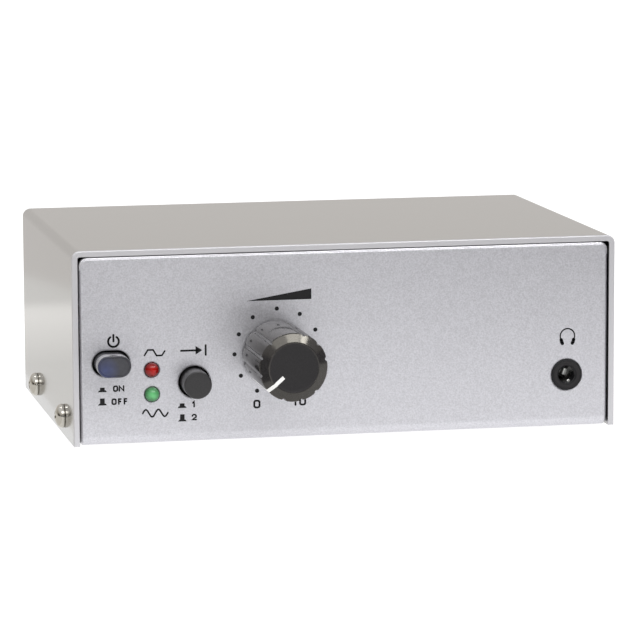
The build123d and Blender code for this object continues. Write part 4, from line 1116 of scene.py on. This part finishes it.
# The corners of a slanted dark card that the knob's chamfer mirrors on its left.
KNOB_CARD = (
    (-0.0423, -0.0669, 0.0006), (-0.0337, -0.0751, 0.0006),
    (-0.2157, -0.2817, 0.1), (-0.2403, -0.2583, 0.1),
)
KNOB_CARD_COLOUR = (0.1, 0.1, 0.1)
BACKDROP_SIDES = 48
BACKDROP_RADIUS = 4.8
BACKDROP_TOP = 3.0
SKY_BAND = (0.2, 0.6)  # the heights between which the sky's colour changes
SKY_COLOURS = ((0.56, 0.53, 0.48), (0.95, 0.95, 0.97))
# Of each light: name, place, target, size and power in watts.
LIGHTS = (
    ("key", (0.05, -0.66, 0.62), (0, -0.03, 0.02), (1.0, 0.35), 2.8),
    ("top_glint", (0.12, -0.6, 0.6), (0, -0.03, 0.02), (0.3, 0.1), 0.6),
    ("spot", (0.42, -0.6, 0.62), (0, -0.03, 0.02), (0.16, 0.16), 1.2),
    ("lens_glint", (-0.2, -0.8, 0.12), (0, -0.03, 0.02), (0.05, 0.05), 0.3),
    ("left_glint", (-0.25, 0.1, 0.8), (-0.06, 0, 0.01), (0.1, 0.1), 0.5),
)


def camera():
    """The photo's point of view."""
    data = bpy.data.cameras.new("camera")
    data.sensor_width = CAMERA_SENSOR
    data.lens = CAMERA_LENS
    yaw, pitch, roll = CAMERA_YAW, CAMERA_PITCH, CAMERA_ROLL
    forward = Vector((
        math.sin(yaw) * math.cos(pitch), math.cos(yaw) * math.cos(pitch), -math.sin(pitch)
    ))
    level = Vector((math.cos(yaw), -math.sin(yaw), 0))
    above = level.cross(forward)
    right = math.cos(roll) * level + math.sin(roll) * above
    up = -math.sin(roll) * level + math.cos(roll) * above
    obj = bpy.data.objects.new("camera", data)
    turn = Matrix((right, up, -forward)).transposed()
    obj.matrix_world = Matrix.Translation(CAMERA_PLACE) @ turn.to_4x4()
    bpy.context.scene.collection.objects.link(obj)
    bpy.context.scene.camera = obj


def glowing(name, colour, glow=1.0, diffuse=0.0):
    """A matt material that glows, for the stage."""
    look = bpy.data.materials.new(name)
    look.use_nodes = True
    shader = look.node_tree.nodes["Principled BSDF"]
    shader.inputs["Base Color"].default_value = (diffuse, diffuse, diffuse, 1)
    shader.inputs["Roughness"].default_value = 0.9
    shader.inputs["Specular IOR Level"].default_value = 0.0
    shader.inputs["Emission Color"].default_value = colour + (1,)
    shader.inputs["Emission Strength"].default_value = glow
    return look


def staged(name, verts, faces, look):
    """A mesh object that belongs to the stage."""
    obj = bare_object(name, verts, faces)
    obj.data.materials.append(look)
    return obj


def flat(name, corners, look):
    """A stage piece of one face."""
    return staged(name, corners, [tuple(range(len(corners)))], look)


def reflected_only(obj):
    """A card that only shows in glossy surfaces."""
    obj.visible_camera = False
    obj.visible_diffuse = False
    obj.visible_shadow = False


def card(name, start, end, low, high, colour):
    """An upright card along a line on the floor."""
    corners = [(*start, low), (*end, low), (*end, high), (*start, high)]
    reflected_only(flat(name, corners, glowing(name, colour)))


def level_corners(low, high, z):
    """The corners of a level rectangle."""
    return [(low[0], low[1], z), (high[0], low[1], z), (high[0], high[1], z), (low[0], high[1], z)]


def side_floor():
    """The floor that the left wall mirrors: warmer, and dimmer close to the case."""
    look = glowing("side floor", SIDE_FLOOR_COLOUR)
    nodes, links = look.node_tree.nodes, look.node_tree.links
    place = nodes.new("ShaderNodeTexCoord")
    split = nodes.new("ShaderNodeSeparateXYZ")
    reach = nodes.new("ShaderNodeMapRange")
    reach.inputs["From Max"].default_value = SIDE_FLOOR_RUN
    fade = nodes.new("ShaderNodeValToRGB")
    for position, _ in SIDE_FLOOR_LEVELS[1:-1]:
        fade.color_ramp.elements.new(position)
    for element, (position, level) in zip(fade.color_ramp.elements, SIDE_FLOOR_LEVELS):
        element.position = position
        element.color = (level, level, level, 1)
    glow = nodes.new("ShaderNodeMath")
    glow.operation = "MULTIPLY"
    glow.inputs[1].default_value = SIDE_FLOOR_GLOW
    links.new(place.outputs["Object"], split.inputs["Vector"])
    links.new(split.outputs["Y"], reach.inputs["Value"])
    links.new(reach.outputs["Result"], fade.inputs["Fac"])
    links.new(fade.outputs["Color"], glow.inputs[0])
    links.new(glow.outputs["Value"], nodes["Principled BSDF"].inputs["Emission Strength"])
    corners = level_corners(SIDE_FLOOR_LOW, SIDE_FLOOR_HIGH, SIDE_FLOOR_Z)
    reflected_only(flat("side_floor", corners, look))


def backdrop():
    """A white wall all round, far off, that only the camera sees."""
    count, radius = BACKDROP_SIDES, BACKDROP_RADIUS
    rim = [(radius * math.cos(a), radius * math.sin(a)) for a in angles_round(count)]
    verts = [(x, y, z) for z in (0.0, BACKDROP_TOP) for x, y in rim]
    faces = [(s, (s + 1) % count, count + (s + 1) % count, count + s) for s in range(count)]
    wall = staged("backdrop", verts, faces, glowing("white backdrop", WHITE))
    wall.visible_glossy = False
    wall.visible_diffuse = False
    wall.visible_shadow = False


def stage():
    """The white floor and backdrop, and the cards that the part's glossy surfaces mirror."""
    corners = level_corners((-FLOOR_REACH, -FLOOR_REACH), (FLOOR_REACH, FLOOR_REACH), 0)
    flat("floor", corners, glowing("white floor", WHITE, FLOOR_GLOW, FLOOR_DIFFUSE))
    card("card_back_left", (-0.111, 0.13), (-0.059, 0.31), 0.0, 0.2, (0.8, 0.77, 0.745))
    card("card_back", (-1.0, 0.9), (1.4, 0.9), 0.02, 0.6, (0.785, 0.755, 0.727))
    side_floor()
    card("card_front", (-0.4, -0.375), (0.5, -0.04), 0.0, 0.075, (0.17, 0.17, 0.175))
    card("card_left", (-0.4, 0.1), (-0.4, -0.2), 0.0, 0.08, (0.08, 0.07, 0.06))
    reflected_only(flat("card_knob", KNOB_CARD, glowing("card_knob", KNOB_CARD_COLOUR)))
    backdrop()


def area_light(name, place, target, size, power):
    data = bpy.data.lights.new(name, "AREA")
    data.shape = "RECTANGLE"
    data.size, data.size_y = size
    data.energy = power
    obj = bpy.data.objects.new(name, data)
    obj.location = place
    obj.rotation_euler = (Vector(target) - Vector(place)).to_track_quat("-Z", "Y").to_euler()
    bpy.context.scene.collection.objects.link(obj)


def world():
    """A pale studio: darker near the horizon, brighter overhead."""
    sky = bpy.data.worlds.new("studio")
    bpy.context.scene.world = sky
    sky.use_nodes = True
    nodes, links = sky.node_tree.nodes, sky.node_tree.links
    background = nodes["Background"]
    place = nodes.new("ShaderNodeTexCoord")
    split = nodes.new("ShaderNodeSeparateXYZ")
    ramp = nodes.new("ShaderNodeValToRGB")
    for element, position, colour in zip(ramp.color_ramp.elements, SKY_BAND, SKY_COLOURS):
        element.position = position
        element.color = colour + (1,)
    links.new(place.outputs["Generated"], split.inputs["Vector"])
    links.new(split.outputs["Z"], ramp.inputs["Fac"])
    links.new(ramp.outputs["Color"], background.inputs["Color"])


dress_nodes()
gain_knob()
power_cap()
input_cap()
lamp("red_lamp", "red_lens")
lamp("green_lamp", "green_lens")
side_screws()
earth_stud()
jack_ring()
jack_side_springs()
panel_bead()
dial_print()
power_print()
lamp_print()
input_print()
headphone_print()
stage()
world()
for light in LIGHTS:
    area_light(*light)
camera()
bpy.context.scene.view_settings.view_transform = "Standard"
